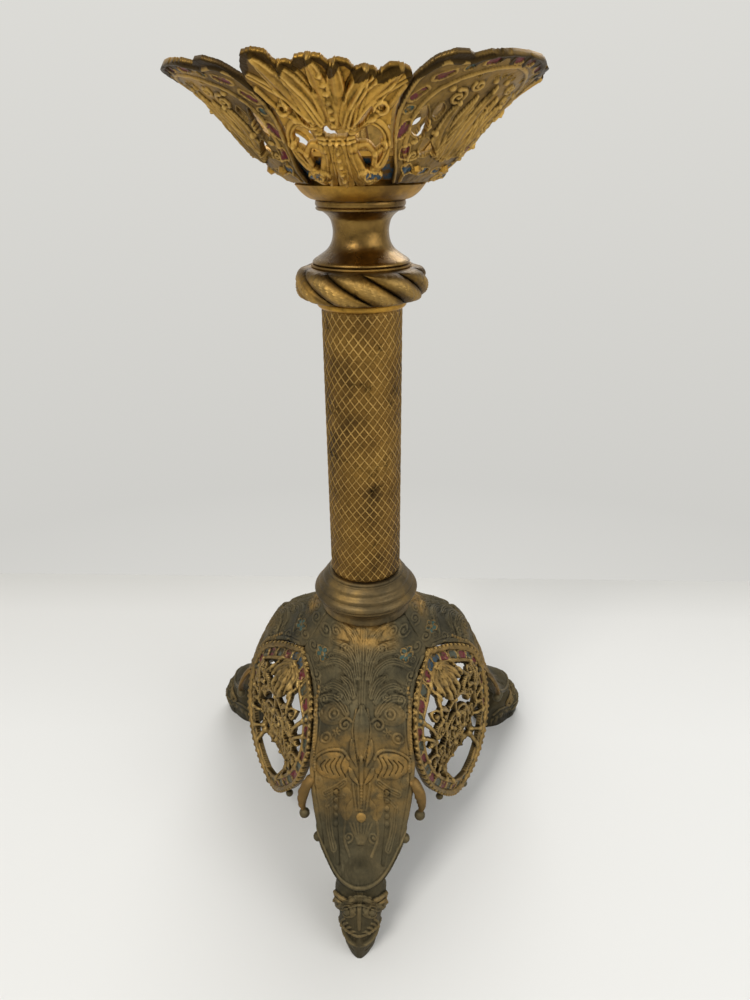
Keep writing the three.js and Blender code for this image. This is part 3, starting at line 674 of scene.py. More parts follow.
def leg_flower(leg):
    """A flower with five petals of enamel, and the ribbed leaves lower down."""
    for turn in range(5):
        a = math.radians(72 * turn + 18)
        leg.cell(22.6 + 2.3 * math.cos(a), 20.5 + 2.3 * math.sin(a), 1.35, 1, math.degrees(a), TEAL, 0.3)
    leg.boss(22.6, 20.5, 0.9, 0.9, 0.6, 0.6)
    leg.boss(22.6, 84.6, 2.6, 3.4, 0.8, 0.6, rings=2)
    leg.bundle([(8.8, 84), (13.2, 87.4), (19, 90.6)], 1.2, 3, 0.45, 0.6, 0.5)
    leg.bundle([(9, 91.5), (13.4, 92.6), (18, 97)], 1.2, 2, 0.45, 0.5, 0.5)


def leg_shank(leg):
    """Ribs, a bead row and shields towards the foot."""
    for line in ([(4.4, 84.8), (3.6, 92), (2.5, 99)], [(1.7, 85), (1.6, 92), (1.2, 99)]):
        leg.ridge(line, 0.55, 0.75, gold=0.55)
    leg.beads([(0, 85), (0, 92), (0, 99)], 0.7, 1.7, 0.6, 0.7)
    leg.boss(7.8, 95.5, 3.6, 8.6, 0.9, 0.5)
    leg.groove([(5, 93), (7.8, 97), (7.6, 103)], 0.4, 0.4)
    leg.boss(0, 102.6, 2.4, 2.4, 1.2, 0.9)
    for x in (0, 1.9, 3.8, 5.6):
        leg.ridge([(0.25 * x, 115.5), (0.7 * x, 110), (x, 105.8)], 0.55, 0.5, gold=0.12)
    leg.groove([(13.1, 89), (13.4, 105), (11.6, 124)], 1.9, 1.3, 1.3)
    for y in (90, 94, 98, 102, 106):
        leg.boss(13.3, y, 1.2, 1.4, 1)
        leg.gold[np.hypot(leg.x - 13.3, leg.y - y) < 1.1] = -0.6
    leg.bundle([(17.5, 98), (16.6, 108), (14, 118)], 1.2, 3, 0.45, 0.5, 0.12)
    leg.ridge([(8.2, 105), (8.6, 113), (5.6, 121)], 0.7, 0.6, gold=0.12)
    leg.scroll(6.4, 112.4, 2.6, 1.2, 0.55, 0.6, start=90, gold=0.15)


def leg_hood(leg):
    """The hood's crown, and its rounded hem, beyond which the sheet ends."""
    t, s = leg.x, leg.y
    leg.height += 3 * np.exp(-(t / 6.5) ** 2 - ((s - 127.5) / 5.6) ** 2)
    leg.open |= (137.4 - 0.046 * t ** 2) - s < 0
    hem = (136.2 - 0.05 * t ** 2) - s
    leg.height += 0.8 * bulge((hem - 0.6) / 1.2) - 0.3 * smooth_step(hem, 0, -1)
    leg.gold[np.abs(hem - 0.6) < 0.9] = 0.1


def leg_wear(leg, share):
    """Gilding is kept under the collar and on the crest, and the shank is dark."""
    s = leg.y
    leg.gold = np.maximum(leg.gold, 0.9 * smooth_step(s, 20, 9) * smooth_step(share, 0.8, 0.4))
    leg.gold = np.maximum(leg.gold, 0.55 * smooth_step(s, 50, 62) * smooth_step(s, 108, 92))
    leg.gold = np.where(leg.gold < 0.02, -0.3 * smooth_step(s, 104, 118), leg.gold)


def leg_mesh():
    points, t, s, share = leg_surface()
    leg = Relief(t, s)
    leg.height += 0.25 * smooth_step(share, 0.05, 0.5)
    leg_hem(leg, t / np.maximum(share, 1e-3) - t)
    leg_shoulder(leg)
    leg_bosses(leg)
    leg_flower(leg)
    leg_shank(leg)
    leg.height *= 1 - 0.4 * smooth_step(s, 84, 98)
    leg_hood(leg)
    leg_wear(leg, share)
    leg.height *= 0.8
    leg.cast_skin(1)
    leg.height *= np.minimum(1, s / 3)
    return cast("leg", points, leg, LEG_WALL)


castings("leg_casting", leg_mesh(), LEGS, patina, "leg")


# Feet: beast heads, with an open mouth just over the floor

HEAD = [[88, 11, 22], [93, 13.4, 32.4], [97.5, 15, 35.8], [102, 14.6, 35.6], [105.6, 13.4, 31.8],
        [107.8, 12.5, 28.2], [110.2, 12.3, 27.4], [113.4, 11, 26.8], [116, 8.8, 23.4],
        [118.6, 6.2, 18.8], [120.3, 3.6, 14.6], [121.2, 1.7, 10.5], [121.3, 0.3, 6]]


def foot_surface(rows, columns):
    """The head's round sheet, closed over its flat sole and at nape and tip."""
    stations = curve_points(HEAD, rows - 1)
    x, half, top = (stations[:, k:k + 1] for k in range(3))
    theta = np.linspace(0, math.pi, columns)[None, :]
    spread = 0.66 + 0.34 * np.minimum(1, 2 * np.sin(theta))
    y = -half * np.cos(theta) * spread
    z = top * np.sin(theta) ** (0.5 + 0.3 * smooth_step(x, 105, 116))
    points = np.stack([x + 0 * theta, y, z], axis=-1)
    # the sole goes from the last column back to the first
    back = np.linspace(0, 1, 9)[None, 1:, None]
    sole = points[:, -1:] + (points[:, :1] - points[:, -1:]) * back
    points = np.concatenate([points, sole], axis=1)
    ends = [points[k] * 0 + points[k].mean(axis=0) for k in (0, -1)]
    return np.concatenate([ends[:1], points, ends[1:]])


def head_side(out, z):
    """Ear, cheek, eye and open mouth, drawn from the side."""
    side = Relief(out, z)
    side.scroll(105.4, 21, 4.6, 1.5, 1.2, 1.7, start=60, gold=1)
    side.ridge([(93, 12), (97, 17), (104, 17.5), (109, 23), (108, 30)], 1, 0.9, gold=0.6)
    side.bundle([(94, 6), (100, 10), (107, 10)], 1.6, 3, 0.6, 0.6, 0.4)
    side.leaf([(105, 18), (109, 22), (112, 28)], 2.2, 1.1, ribs=1, gold=0.8)
    side.boss(112.4, 23.4, 1.9, 1.7, 1.1, 0.3)
    side.ring(112.4, 23.4, 2.4, 0.5, 0.6, gold=0.9)
    for k in range(4):
        side.ridge([(114 + 1.5 * k, 20.4 - k), (113.4 + 1.5 * k, 17.4 - 0.8 * k), (114.6 + 1.4 * k, 14.2)],
                   0.5, 0.6, gold=0.5)
    mouth = smooth_step(out, 109.5, 113) * bulge((z - 11.6 - 0.1 * (out - 111)) / 2.4)
    side.height -= 2.6 * mouth
    side.ridge([(110, 14.8), (115, 15.4), (121, 15.8)], 0.7, 0.7, gold=0.8)
    side.ridge([(110, 8.2), (115, 8.6), (120.6, 9.2)], 0.7, 0.6, gold=0.6)
    side.groove([(108, 4.6), (115, 4.8), (120, 5)], 0.5, 0.5)
    return side


def foot_mesh(columns=130):
    points = foot_surface(rows=170, columns=columns)
    out, z = points[..., 0], points[..., 2]
    y = np.abs(points[..., 1])
    foot = Relief(y, out)
    # the dark dome of the head, and the dip in front of it
    foot.height += 1.7 * np.exp(-((out - 101.5) / 4.6) ** 2 - (y / 9) ** 2) * smooth_step(z, 18, 28)
    foot.height -= 1.3 * np.exp(-((out - 109.4) / 1.8) ** 2) * smooth_step(z, 14, 22)
    side = head_side(out, z)
    foot.height += 0.9 * side.height
    foot.gold = np.where(side.gold > 0, 0.18 * side.gold + 0.4 * (side.gold > 0.95), -0.35)
    foot.ridge([(0, 106), (0, 112), (0, 118)], 1.5, 0.6, 0.9, gold=0.15)
    foot.boss(5, 109.2, 2.6, 2, 0.8, 0.15)
    foot.boss(3.4, 113.2, 1.9, 1.5, 0.6, 0.1)
    foot.cast_skin(2)
    foot.height *= smooth_step(z, 0.2, 2.5) * smooth_step(121.2 - out, 0, 1.2)
    foot.height[:, columns:] = foot.height[:, :1] = foot.height[[0, -1]] = 0
    return cast("foot", points, foot, 0, wrap=True)


castings("foot", foot_mesh(), LEGS, patina)

LEAF_BESIDE_LEG = [[69, 23.4, 71], [72.2, 27.4, 69], [75, 30.6, 63], [76.6, 31.4, 57], [77.4, 30.4, 52.8]]
for place, turn in LEGS.items():
    for letter, hand in (("a", -1), ("b", 1)):
        bar(f"crocket_{place}_{letter}", [(x, hand * y, z) for x, y, z in LEAF_BESIDE_LEG],
            [1.5, 2.7, 2.9, 2, 0.9], crocket_gilt, turn, flat=0.5, teeth=7)
        berries(f"leg_berries_{place}_{letter}",
                [((77.4, hand * 30.4, 51.2), 2.8), ((85.5, hand * 22.6, 43.6), 2.6)], turn)
        stations = [(85, hand * 13, 43), (85.2, hand * 18.4, 43.4), (85.4, hand * 22, 43.6)]
        bar(f"stud_{place}_{letter}", stations, [2, 1.7, 2.3], patina, turn, steps=8)


# Medallions: pierced shields between the legs

def medallion_surface(line, rows, columns):
    """The shield inside its rim line, and how far each place is from the rim."""
    along = lengths(line)
    stops = np.linspace(0, along[-1], rows)
    distance, half, height = (np.interp(stops, along, line[:, k])[:, None] for k in range(3))
    f = np.linspace(-1, 1, columns)[None, :]
    t = half * np.sin(f * math.pi / 2)
    z = height + 0 * f
    crown = 2.4 * (half ** 2 - t ** 2) / 42 ** 2
    rim_t, rim_z = line[:, 1:].T
    away = np.full(t.shape, 99.0)
    for k in range(0, len(line), 4):
        away = np.minimum(away, np.hypot(np.abs(t) - rim_t[k], z - rim_z[k]))
    inner = np.interp(z, [26, 33, 48, 65, 83, 93, 104, 114], [60, 57.5, 58, 60.3, 58.8, 57.4, 50, 39.2])
    proud = smooth_step(away, 8.4, 14)
    x = (distance + crown) * (1 - proud) + inner * proud
    points = np.stack([x + 0 * t, t + 0 * z, z], axis=-1)
    return points, away


def medallion_rim(plate, line, away):
    """A rounded edge with nubs, a band of enamel cells and an inner moulding."""
    rim_t, rim_z = line[:, 1:].T
    plate.height += 2 * bulge((away - 1.5) / 1.5) + 0.9 * bulge(away - 8)
    plate.gold[(away < 2.8) | (np.abs(away - 8) < 1)] = 0.8
    cells = [(4.5, 110.2, NAVY), (10.8, 106.9, CRIMSON), (18.8, 103.4, MOSS), (26, 98.9, CRIMSON),
             (31.6, 94.2, MOSS), (35.6, 88.2, CRIMSON), (37.4, 81.6, MOSS), (37.6, 74, CRIMSON),
             (36.6, 66.6, MOSS), (34.4, 59.6, CRIMSON), (30.6, 53, MOSS), (26, 47.4, CRIMSON),
             (20.6, 42.2, MOSS), (14.6, 37.4, CRIMSON), (8, 33.4, MOSS), (0, 31.2, MOSS)]
    for t0, z0, colour in cells:
        k = int(np.argmin(np.hypot(rim_t - t0, rim_z - z0)))
        k = min(max(k, 3), len(line) - 4)
        slope = math.degrees(math.atan2(rim_z[k + 3] - rim_z[k - 3], rim_t[k + 3] - rim_t[k - 3]))
        inward = (rim_t[k] - t0, rim_z[k] - z0)
        scale = 5.2 / max(math.hypot(*inward), 0.1)
        place = (rim_t[k] - inward[0] * scale, rim_z[k] - inward[1] * scale)
        plate.cell(max(place[0], 0), place[1], 3, 1.9, slope, colour)
    plate.beads(line[8::28, 1:], 1.3, 3.6, 0.9, 0.9)


def medallion_vine(plate):
    """Vine scrolls with their leaves and fruit."""
    gold = 0.65
    for line in ([(0, 98), (7, 99), (13.4, 96), (17, 91), (16.6, 85)], [(11, 103.4), (13, 99), (12.4, 95)],
                 [(30.4, 92.6), (27.6, 88.6), (24.6, 80), (25, 71), (24, 62), (20.4, 54)],
                 [(33, 84), (28.6, 81), (25, 77)], [(33.6, 70.6), (29.6, 70), (25, 67.4)],
                 [(30.6, 58.6), (26.4, 58.4), (22.6, 58.6)], [(20.4, 54), (17, 47.6), (15.6, 41)],
                 [(24.4, 49.4), (20.6, 50.4), (18.6, 50.6)], [(0, 44.4), (6, 43.6), (12, 46), (17, 49)],
                 [(0, 86.8), (6, 86.4), (12, 82.4), (14.6, 77.6)],
                 [(0, 77.8), (6.4, 78), (11.4, 75.2), (14, 70)],
                 [(14, 70), (15.6, 63.6), (13.6, 57), (9, 53)], [(16.6, 85), (21, 83.4), (24.8, 80)]):
        plate.ridge(line, 1.35, 1.2, 1.05, gold)
    for x, y, radius, turns, wide, rise, start in (
            (17.6, 78.6, 4.9, 1.5, 1.05, 1.1, 70), (21.2, 90.2, 3.6, -1.4, 1, 1, 200),
            (19.8, 66.4, 4.4, -1.4, 1, 1, 0), (12.4, 50.4, 3.4, 1.4, 0.95, 1, 100),
            (5, 50.2, 3.3, -1.3, 0.95, 1, 60)):
        plate.scroll(x, y, radius, turns, wide, rise, start, gold)
    plate.ring(0, 65.5, 4.2, 1.2, 1.1, dot=1.3, gold=0.6)
    plate.ring(0, 65.5, 10.2, 1.25, 1.1, gold=0.6)
    for line in ([(0, 70), (0, 78), (0, 87)], [(3.6, 63.4), (7, 62), (10, 62)],
                 [(3, 68.6), (5.4, 71.4), (7.4, 72.6)],
                 [(0, 61.4), (0, 58), (0, 55)], [(0, 55), (0, 49), (0, 44)]):
        plate.ridge(line, 1.2, 1.1, gold=gold)
    for line in ([(9.6, 86), (13, 90), (17.4, 92.6)], [(25, 76), (28, 77.6), (31.6, 77)],
                 [(24.6, 64), (28, 64.6), (31.6, 63.6)],
                 [(14, 72), (10.4, 70.6), (9.4, 66.6)], [(18.4, 56), (16, 59.6), (15.2, 62.6)],
                 [(2.6, 88.6), (5, 92), (5.2, 96)]):
        plate.leaf(line, 2.1, 1.4, ribs=1, gold=gold, notches=4)
    for t0, z0 in ((12.8, 84.6), (21.6, 76.4), (25.4, 58.4), (16.8, 54.2), (10, 44.6), (7.2, 55.4),
                   (0, 76.8)):
        plate.boss(t0, z0, 1.6, 1.6, 1.2, 0.85)
    # a palmette hangs at the head
    for line in ([(0, 104), (0, 97), (0, 88.4)], [(1, 103.6), (4, 98), (4.8, 90.6)],
                 [(1.6, 103.8), (7.4, 100.4), (9.6, 93.8)]):
        plate.leaf(line, 2.3, 1.5, ribs=1, gold=0.7)
    plate.boss(0, 104.8, 2.6, 2, 1.5, 0.9)


def medallion_mesh():
    line = curve_points(MEDALLION_RIM, 560)
    points, away = medallion_surface(line, rows=190, columns=176)
    plate = Relief(np.abs(points[..., 1]), points[..., 2])
    medallion_rim(plate, line, away)
    medallion_vine(plate)
    plate.openwork((away > 9) & (plate.y < 104.6))
    plate.cast_skin(3)
    return cast("medallion", points, plate, MEDALLION_WALL)


castings("medallion_casting", medallion_mesh(), PANELS, medallion_gilt, "medallion")
for place, turn in PANELS.items():
    berries(f"medallion_berries_{place}",
            [((63.8, -25.6, 38.4), 2.1), ((63.8, 25.6, 38.4), 2.1), ((67.4, 0, 25.6), 2.1)], turn)


# Stem

turned("collar_turned", [
    (BORE, 150), (19.5, 150), (19.5, 133.3), (24.7, 133.3), [(24.1, 136), (24.5, 138.6)], (26.4, 140.4),
    [(27.5, 141.2), (27.5, 142.7)], [(28.6, 143.3), (28.9, 144.4), (28.2, 145.9)], (26.4, 147),
    [(26, 148.8), (24, 150.8), (23.4, 152.6), (21.6, 154.4)], [(20.8, 155), (20.8, 156.4), (20, 157)],
    (BORE, 157)], collar_patina, ["collar"])


def column():
    """A sleeve with a lattice of thin raised lines, and a small pillow in each diamond."""
    radius, around, diamond = 18.5, 27, 5.5
    z, phi = np.meshgrid(np.linspace(299.0, 157.3, 300), np.linspace(0, 2 * math.pi, 326), indexing="ij")
    points = circle_rows(radius, z, phi)
    within = points[[-1, 0]] * (0.92, 0.92, 1)
    points = np.concatenate([points, within, points[:1]])
    z = points[..., 2]
    phi = phi[:1] + 0 * z
    sleeve = Relief(phi, z)
    crossing = [(phi * around / (2 * math.pi) + way * z / diamond) % 1 for way in (1, -1)]
    away = np.minimum(*(0.5 - np.abs(place - 0.5) for place in crossing))
    line = bulge(away / 0.085)
    sleeve.height = 0.5 * line + 0.2 * smooth_step(away, 0.1, 0.4)
    sleeve.height[:3] = sleeve.height[-6:] = 0
    sleeve.gold = 0.9 * line
    mesh = cast("column_lattice", points, sleeve, 0, wrap=True)
    return finished("column_lattice", mesh, lattice_gilt, ["column"])


column()

turned("column_fillet_turned", [
    (BORE, 299.3), (20, 299.3), [(20.7, 300), (20.9, 300.9), (20.7, 301.8), (20, 302.5)], (BORE, 302.5)],
    gilt, ["column_fillet"])


def knop():
    """Ten round lobes that turn as they rise, with narrow grooves between them."""
    low, high, lobes, twist, first = 302.8, 318.2, 10, 0.42, 0.16
    psi = np.linspace(0.47 * math.pi, -0.47 * math.pi, 64)[:, None]
    phi = np.linspace(0, 2 * math.pi, 721)[None, :]
    middle, span, rise = (low + high) / 2 - 0.6, high - low - 1.4, np.sin(psi) / 2
    lobe_at = lambda phi, rise: np.abs(np.cos(lobes / 2 * (phi + 2 * twist * rise + first))) ** 0.45
    lobe = lobe_at(phi, rise)
    swell = np.cos(psi) ** 0.5
    r = 30.6 - 8.6 * (1 - swell) - 3.4 * (1 - lobe) * swell
    crown = [(BORE, high), (22.6, high), (22.9, high - 0.6), (22.6, high - 1.2)]
    body = circle_rows(r, middle + rise * span, phi)
    under = [(22, low), (BORE, low), (BORE, high)]
    bands, under = ([circle_rows(*ring, phi) for ring in rings] for rings in (crown, under))
    points = np.concatenate(bands + [body] + under)
    surface = Relief(0 * points[..., 0], points[..., 2])
    # gilding kept low on each lobe, with punched dots, and a dark crown
    kept = smooth_step(lobe, 0.82, 0.96) * smooth_step(rise, 0.32, 0.12) * smooth_step(rise, -0.47, -0.38)
    dots = np.maximum(0, np.cos(68 * (phi + 2 * twist * rise)) * np.cos(19 * psi))
    surface.height[4:-3] += 0.34 * kept * dots
    surface.gold[4:-3] = 0.95 * kept * (0.55 + 0.45 * dots) - 0.6 * smooth_step(rise, 0.18, 0.42)
    surface.cast_skin(4, 0.1)
    surface.height[:, -1] = surface.height[:, 0]
    surface.height[:5] = surface.height[-4:] = 0
    mesh = cast("knop_gadrooned", points, surface, 0, wrap=True)
    x, y, height = vertex_places(mesh).T
    share = np.clip((height - middle) / span, -0.5, 0.5)
    # the grooves get a low ridge value, so the metal paints shade in them
    groove = 0.22 - 0.75 * (1 - lobe_at(np.arctan2(y, x), share))
    groove[np.hypot(x, y) < 23] = 0
    mesh.attributes["ridge"].data.foreach_set("value", groove.astype(np.float32))
    return finished("knop_gadrooned", mesh, knop_gilt, ["knop"], sharp=50)


knop()

turned("neck_turned", [
    (BORE, 318.5), (21.8, 318.5), [(22.1, 319), (21.9, 319.6), (21.2, 320.3)],
    [(18.2, 322.2), (15.2, 324.5), (13.3, 327.6), (12.6, 331.6), (12.8, 334), (13.7, 337), (15.2, 338.8),
     (17.2, 340.3)], (BORE, 340.3)], brass, ["neck"])
turned("pan_ring_turned", [
    (BORE, 340.6), (19.1, 340.6), [(19.7, 341), (19.9, 341.6), (19.4, 342.1)],
    [(19.9, 342.8), (20, 343.7), (19.8, 344.5)], (BORE, 344.5)], brass, ["pan_ring"])


# Drip pan. A leaf's outline and ornament are given in degrees from its middle, and in height

BOWL = [[28.4, 351], [32.3, 353.6], [38, 357.6], [46.5, 365.6], [54.2, 374], [62.7, 382.2], [67.5, 386],
        [73.2, 389.6], [78, 392.6], [82, 394.8]]
bowl_line = curve_points(BOWL, 270)
bowl_along = lengths(bowl_line)


def on_bowl(places):
    """Across and along the bowl in millimetres, from degrees and heights."""
    degrees, height = np.asarray(places, float).T
    r = np.interp(height, bowl_line[:, 1], bowl_line[:, 0])
    return np.stack([np.radians(degrees) * r, np.interp(height, bowl_line[:, 1], bowl_along)], axis=-1)


class PanLeaf(Relief):
    """Ornament on a leaf of the bowl, drawn in degrees and heights."""

    def __init__(self, reach, top, rows, columns, mirrored=True):
        along = np.linspace(np.interp(top, bowl_line[:, 1], bowl_along),
                            np.interp(PAN_LEAF_FOOT, bowl_line[:, 1], bowl_along), rows)[:, None]
        self.degrees = np.linspace(-reach, reach, columns)[None, :] + 0 * along
        r = np.interp(along, bowl_along, bowl_line[:, 0])
        self.z = np.interp(along, bowl_along, bowl_line[:, 1]) + 0 * self.degrees
        phi = np.radians(self.degrees)
        self.points = np.stack([r * np.cos(phi), r * np.sin(phi), self.z], axis=-1)
        across = phi * r
        super().__init__(np.abs(across) if mirrored else across, along + 0 * phi)

    def stroke(self, points, *rest, **named):
        return super().stroke(on_bowl(points), *rest, **named)

    def boss(self, x, y, *rest, **named):
        (x, y), = on_bowl([(x, y)])
        super().boss(x, y, *rest, **named)

    def cell(self, x, y, half_long, half_wide, degrees, colour, sunk=0.45):
        (x, y), = on_bowl([(x, y)])
        super().cell(x, y, half_long, half_wide, degrees, colour, sunk)

    def hole(self, x, y, radius, lip=0.8):
        (x, y), = on_bowl([(x, y)])
        super().hole(x, y, radius, lip)

    def curl(self, x, y, radius, turns, wide, rise, start, gold=None):
        """A scroll about a place given in degrees and height."""
        (x, y), = on_bowl([(x, y)])
        box, share, _ = Relief.stroke(self, winding(x, y, radius, turns, start), wide, wide * 0.6)
        self.height[box] += rise * bulge(share)
        self.gild(box, share, gold)

    def trim(self, top, sides):
        """Cuts the sheet back to its outline."""
        a = np.abs(self.degrees)
        self.open |= self.z > np.interp(self.degrees, *np.array(top, float).T)
        heights, half = np.array(sides, float).T
        self.open |= a > np.interp(self.z, heights, half)

    def paint_rim_shade(self, top, depth, sway, pace, gold):
        """Painted shade along the top edge, with a lower border that sways a little."""
        edge = np.interp(self.degrees, *np.array(top, float).T)
        rim = self.z - (edge - depth - sway * np.sin(pace * self.degrees))
        self.gold[rim > 0] = gold


def on_side(side, *points):
    """Places given for the positive side, on either side."""
    return [(side * x, y) for x, y in points]


def lobe_mesh():
    leaf = PanLeaf(37, 394.4, rows=156, columns=200)
    top = [(0, 392.6), (10, 392.5), (15, 391.8), (19, 390.6), (22, 391.6), (25, 391.5), (29, 390),
           (31, 388.6), (34, 385), (36.4, 379), (37, 375)]
    top = [(-a, z) for a, z in top[:0:-1]] + top
    leaf.trim(top, [(351.8, 25), (356, 28.5), (361, 32.5), (367.6, 35.8), (375, 36.9), (381, 36), (395, 36)])
    gold = 0.75
    # edge moulding, and the band of cells inside it
    leaf.ridge([(25.4, 352.6), (29, 357), (32.6, 362), (35, 368.6), (35.6, 375), (34.4, 380.6), (31.6, 386),
                (27, 388.8), (20, 389.4), (12, 391.6), (0, 392.8)], 0.9, 0.8, gold=0.5)
    leaf.ridge([(20, 353), (24.4, 359.6), (28.6, 364.8), (29.4, 371.6), (28.4, 377), (24.6, 381.6),
                (18, 385.4), (9, 388.4), (0, 389.6)], 0.8, 0.7, gold=gold)
    for a, z, tilt, colour, long in (
            (7.2, 356.4, 0, NAVY, 2.6), (13.2, 356.6, 20, NAVY, 3), (21, 357.2, 40, NAVY, 3.2),
            (27.6, 363, 60, CRIMSON, 3.2), (32, 370.2, 80, CRIMSON, 3.4), (32.2, 376.4, 98, TEAL, 1.4),
            (30.6, 380.8, 118, CRIMSON, 2.8), (24.8, 386, 145, CRIMSON, 3), (18.4, 388.2, 152, TEAL, 1.4),
            (12.2, 390, 162, CRIMSON, 2.6), (3.2, 391, 178, CRIMSON, 2.6)):
        leaf.cell(a, z, long, 1.5, tilt, colour)
    # openings
    leaf.opening([(26.4, 377), (26, 372.4), (22.8, 368)], 2.8)
    leaf.opening([(20.4, 378), (19.2, 374)], 1.9)
    leaf.opening([(19.6, 367), (15.6, 363.4), (11.4, 363)], 2.5)
    for a, z in ((1.6, 386.9), (4.8, 386.5), (12.6, 386.4)):
        leaf.hole(a, z, 0.85, 0.5)
    # leaf and scrolls
    for line in ([(0, 360.5), (0, 370), (0, 384)], [(4.6, 361.2), (7.6, 370), (6.4, 381)],
                 [(8.6, 362), (13.6, 369.4), (13.4, 379.6)]):
        leaf.leaf(line, 3, 1.3, ribs=1, gold=0.55)
    leaf.bundle([(4.5, 377), (7.4, 371), (10.2, 363.6)], 1.1, 3, 0.4, 0.6, 0.7)
    leaf.curl(15.2, 380.4, 3.4, 1.5, 0.85, 1, 60, gold)
    leaf.curl(23.4, 372, 3, 1.4, 0.8, 1, 200, gold)
    leaf.curl(9.6, 384, 2.6, -1.4, 0.7, 0.9, 20, gold)
    leaf.curl(22.6, 362, 2.6, 1.4, 0.7, 0.9, 120, gold)
    for a, z in ((19.2, 382.6), (24.8, 366.4), (3.2, 385.4), (16.8, 369.6)):
        leaf.boss(a, z, 1.3, 1.3, 1, 0.9)
    # painted shade along the lobe's top edge
    leaf.paint_rim_shade(top, 2.2, 0.8, 1, -0.9)
    leaf.cast_skin(5)
    return cast("lobe", leaf.points, leaf, PAN_WALL)


def palmette_fan(leaf, gold):
    """A fan of hollow leaves, each with a rounded rib on both sides."""
    for line in ([(-0.6, 371.6), (-1.6, 380), (-3, 390)], [(-4.5, 372.6), (-7.8, 380), (-11.6, 388.4)],
                 [(-7.4, 373.4), (-12.6, 380.4), (-17.6, 391)], [(1.4, 371.8), (2.6, 380), (3.2, 389)],
                 [(4.5, 371.8), (7.8, 378.6), (11.8, 387)], [(7.2, 372.6), (13, 379.4), (21.6, 387.4)]):
        leaf.leaf(line, 3.5, 1.6, ribs=1, gold=0.55, blunt=0.45)
    for line in ([(-4.5, 373), (-7.8, 380), (-12.5, 387)], [(6.5, 373), (10, 381), (15.6, 386)],
                 [(4.5, 371.6), (7.8, 378.5), (13.2, 385.7)], [(-9.4, 374.4), (-15.6, 380.6), (-23, 386.6)],
                 [(9, 373.4), (15.4, 379.4), (24.4, 385.4)]):
        leaf.bundle(line, 1.5, 2, 0.6, 0.8, gold)
    leaf.groove([(-7.5, 387.6), (-5.6, 385), (-4, 381.6)], 0.8, 1)
    leaf.groove([(8.4, 386.4), (6.2, 383), (4.8, 379.6)], 0.6, 0.8)


def palmette_volutes(leaf, side):
    """The volute at one side of the fan's foot."""
    leaf.curl(side * 17.6, 377.4, 3.2, side * 1.5, 0.9, 1.1, 90, 0.9)
    leaf.hole(side * 17.8, 377.2, 0.8, 0.4)
    leaf.opening(on_side(side, (14, 378.2), (11.6, 374.8), (9, 372.2)), 1)
    leaf.ridge(on_side(side, (8, 371.4), (14, 373.4), (20.6, 377.6), (24, 383)), 0.9, 0.9, gold=0.8)


def palmette_fronds(leaf, side, gold):
    """One side of the stem, which spreads at its foot, and the fronds that curl back beside it."""
    for line in ([(1.6, 367), (1.8, 360), (2.6, 352)],
                 [(4, 367), (4.6, 361), (7.4, 355.6), (10.4, 352)],
                 [(6.4, 368), (6.8, 363), (10.4, 358), (15.4, 353.6)]):
        leaf.ridge(on_side(side, *line), 1.9, 1.1, gold=gold)
    leaf.ridge(on_side(side, (7, 370.6), (14, 373.2), (20.4, 370), (23, 364), (21, 358.6), (16.8, 356.6)),
               2.2, 1, 1.4, gold=0.9)
    leaf.ridge(on_side(side, (7.4, 364.6), (12.6, 365.6), (17, 362.6), (17.4, 359)), 1.7, 0.9, 1.1, gold=0.85)
    leaf.ridge(on_side(side, (17, 362.6), (20.4, 364.4), (23, 366.6)), 1, 0.9, gold=0.8)
    leaf.curl(side * 14.6, 355.4, 3, side * 1.4, 1.3, 1, 90, 0.9)
    leaf.ridge(on_side(side, (14.6, 353), (19, 352.8), (22.6, 355.4)), 1.6, 0.8, gold=0.7)
    leaf.boss(side * 20.6, 366.4, 1.5, 1.5, 1.2, 0.9)
    leaf.boss(side * 18.8, 355.6, 4.6, 2.7, 1, 0.5)


def palmette_mesh():
    leaf = PanLeaf(26.5, 392.3, rows=146, columns=170, mirrored=False)
    top = [(-26.5, 385), (-24, 388.4), (-20.4, 391.6), (-17, 392.1), (-13.6, 391.4), (-12.6, 388.8),
           (-10, 389), (-8, 388.4), (-6.6, 389.8), (-3, 390.3), (0.4, 389.8), (1.6, 388.2), (4.4, 389),
           (7.4, 388.3), (8.6, 386.6), (11, 387.4), (14, 386.8), (15.4, 385.9), (18.6, 387.9), (22, 387.6),
           (25, 386.4), (26.5, 383)]
    leaf.trim(top, [(351.8, 20), (354.8, 23.6), (362, 24.4), (366.3, 23.6), (369.6, 23), (372.4, 22.4),
                    (376.6, 21.8), (380.5, 23.6), (383.4, 25.4), (386, 26.4), (395, 26.4)])
    gold = 0.75
    palmette_fan(leaf, gold)
    for side in (-1, 1):
        palmette_volutes(leaf, side)
    for side in (-1, 1):
        palmette_fronds(leaf, side, gold)
    leaf.leaf([(0, 367), (0, 359), (0, 352.4)], 2.4, 1.1, ribs=0, gold=0.7)
    leaf.openwork(leaf.z < 371.6)
    for side in (-1, 1):
        leaf.cell(side * 18.8, 355.6, 3.4, 1.7, -25 * side, NAVY)
        leaf.groove(on_side(side, (9, 371.2), (14, 373), (20.2, 369.8), (22.7, 364), (20.8, 358.9)), 0.4, 0.6)
    for z in (367.3, 368.5, 369.7):
        leaf.ridge([(-8, z), (0, z - 0.4), (8, z)], 0.55, 0.8, gold=0.85)
    leaf.beads([(-1, 386), (0, 379), (0.2, 372.4)], 1, 2.2, 0.9, 0.8)
    leaf.beads([(-0.2, 366.3), (-0.5, 354.3)], 0.95, 2.2, 0.8, 0.8)
    # painted shade along the palmette's top edge
    leaf.paint_rim_shade(top, 1.9, 0.9, 0.8, -0.95)
    leaf.cast_skin(6)
    return cast("palmette", leaf.points, leaf, PAN_WALL)


def pan_turns(places):
    """The drip pan sits turned a little against the legs."""
    return {place: turn + PAN_TURN for place, turn in places.items()}


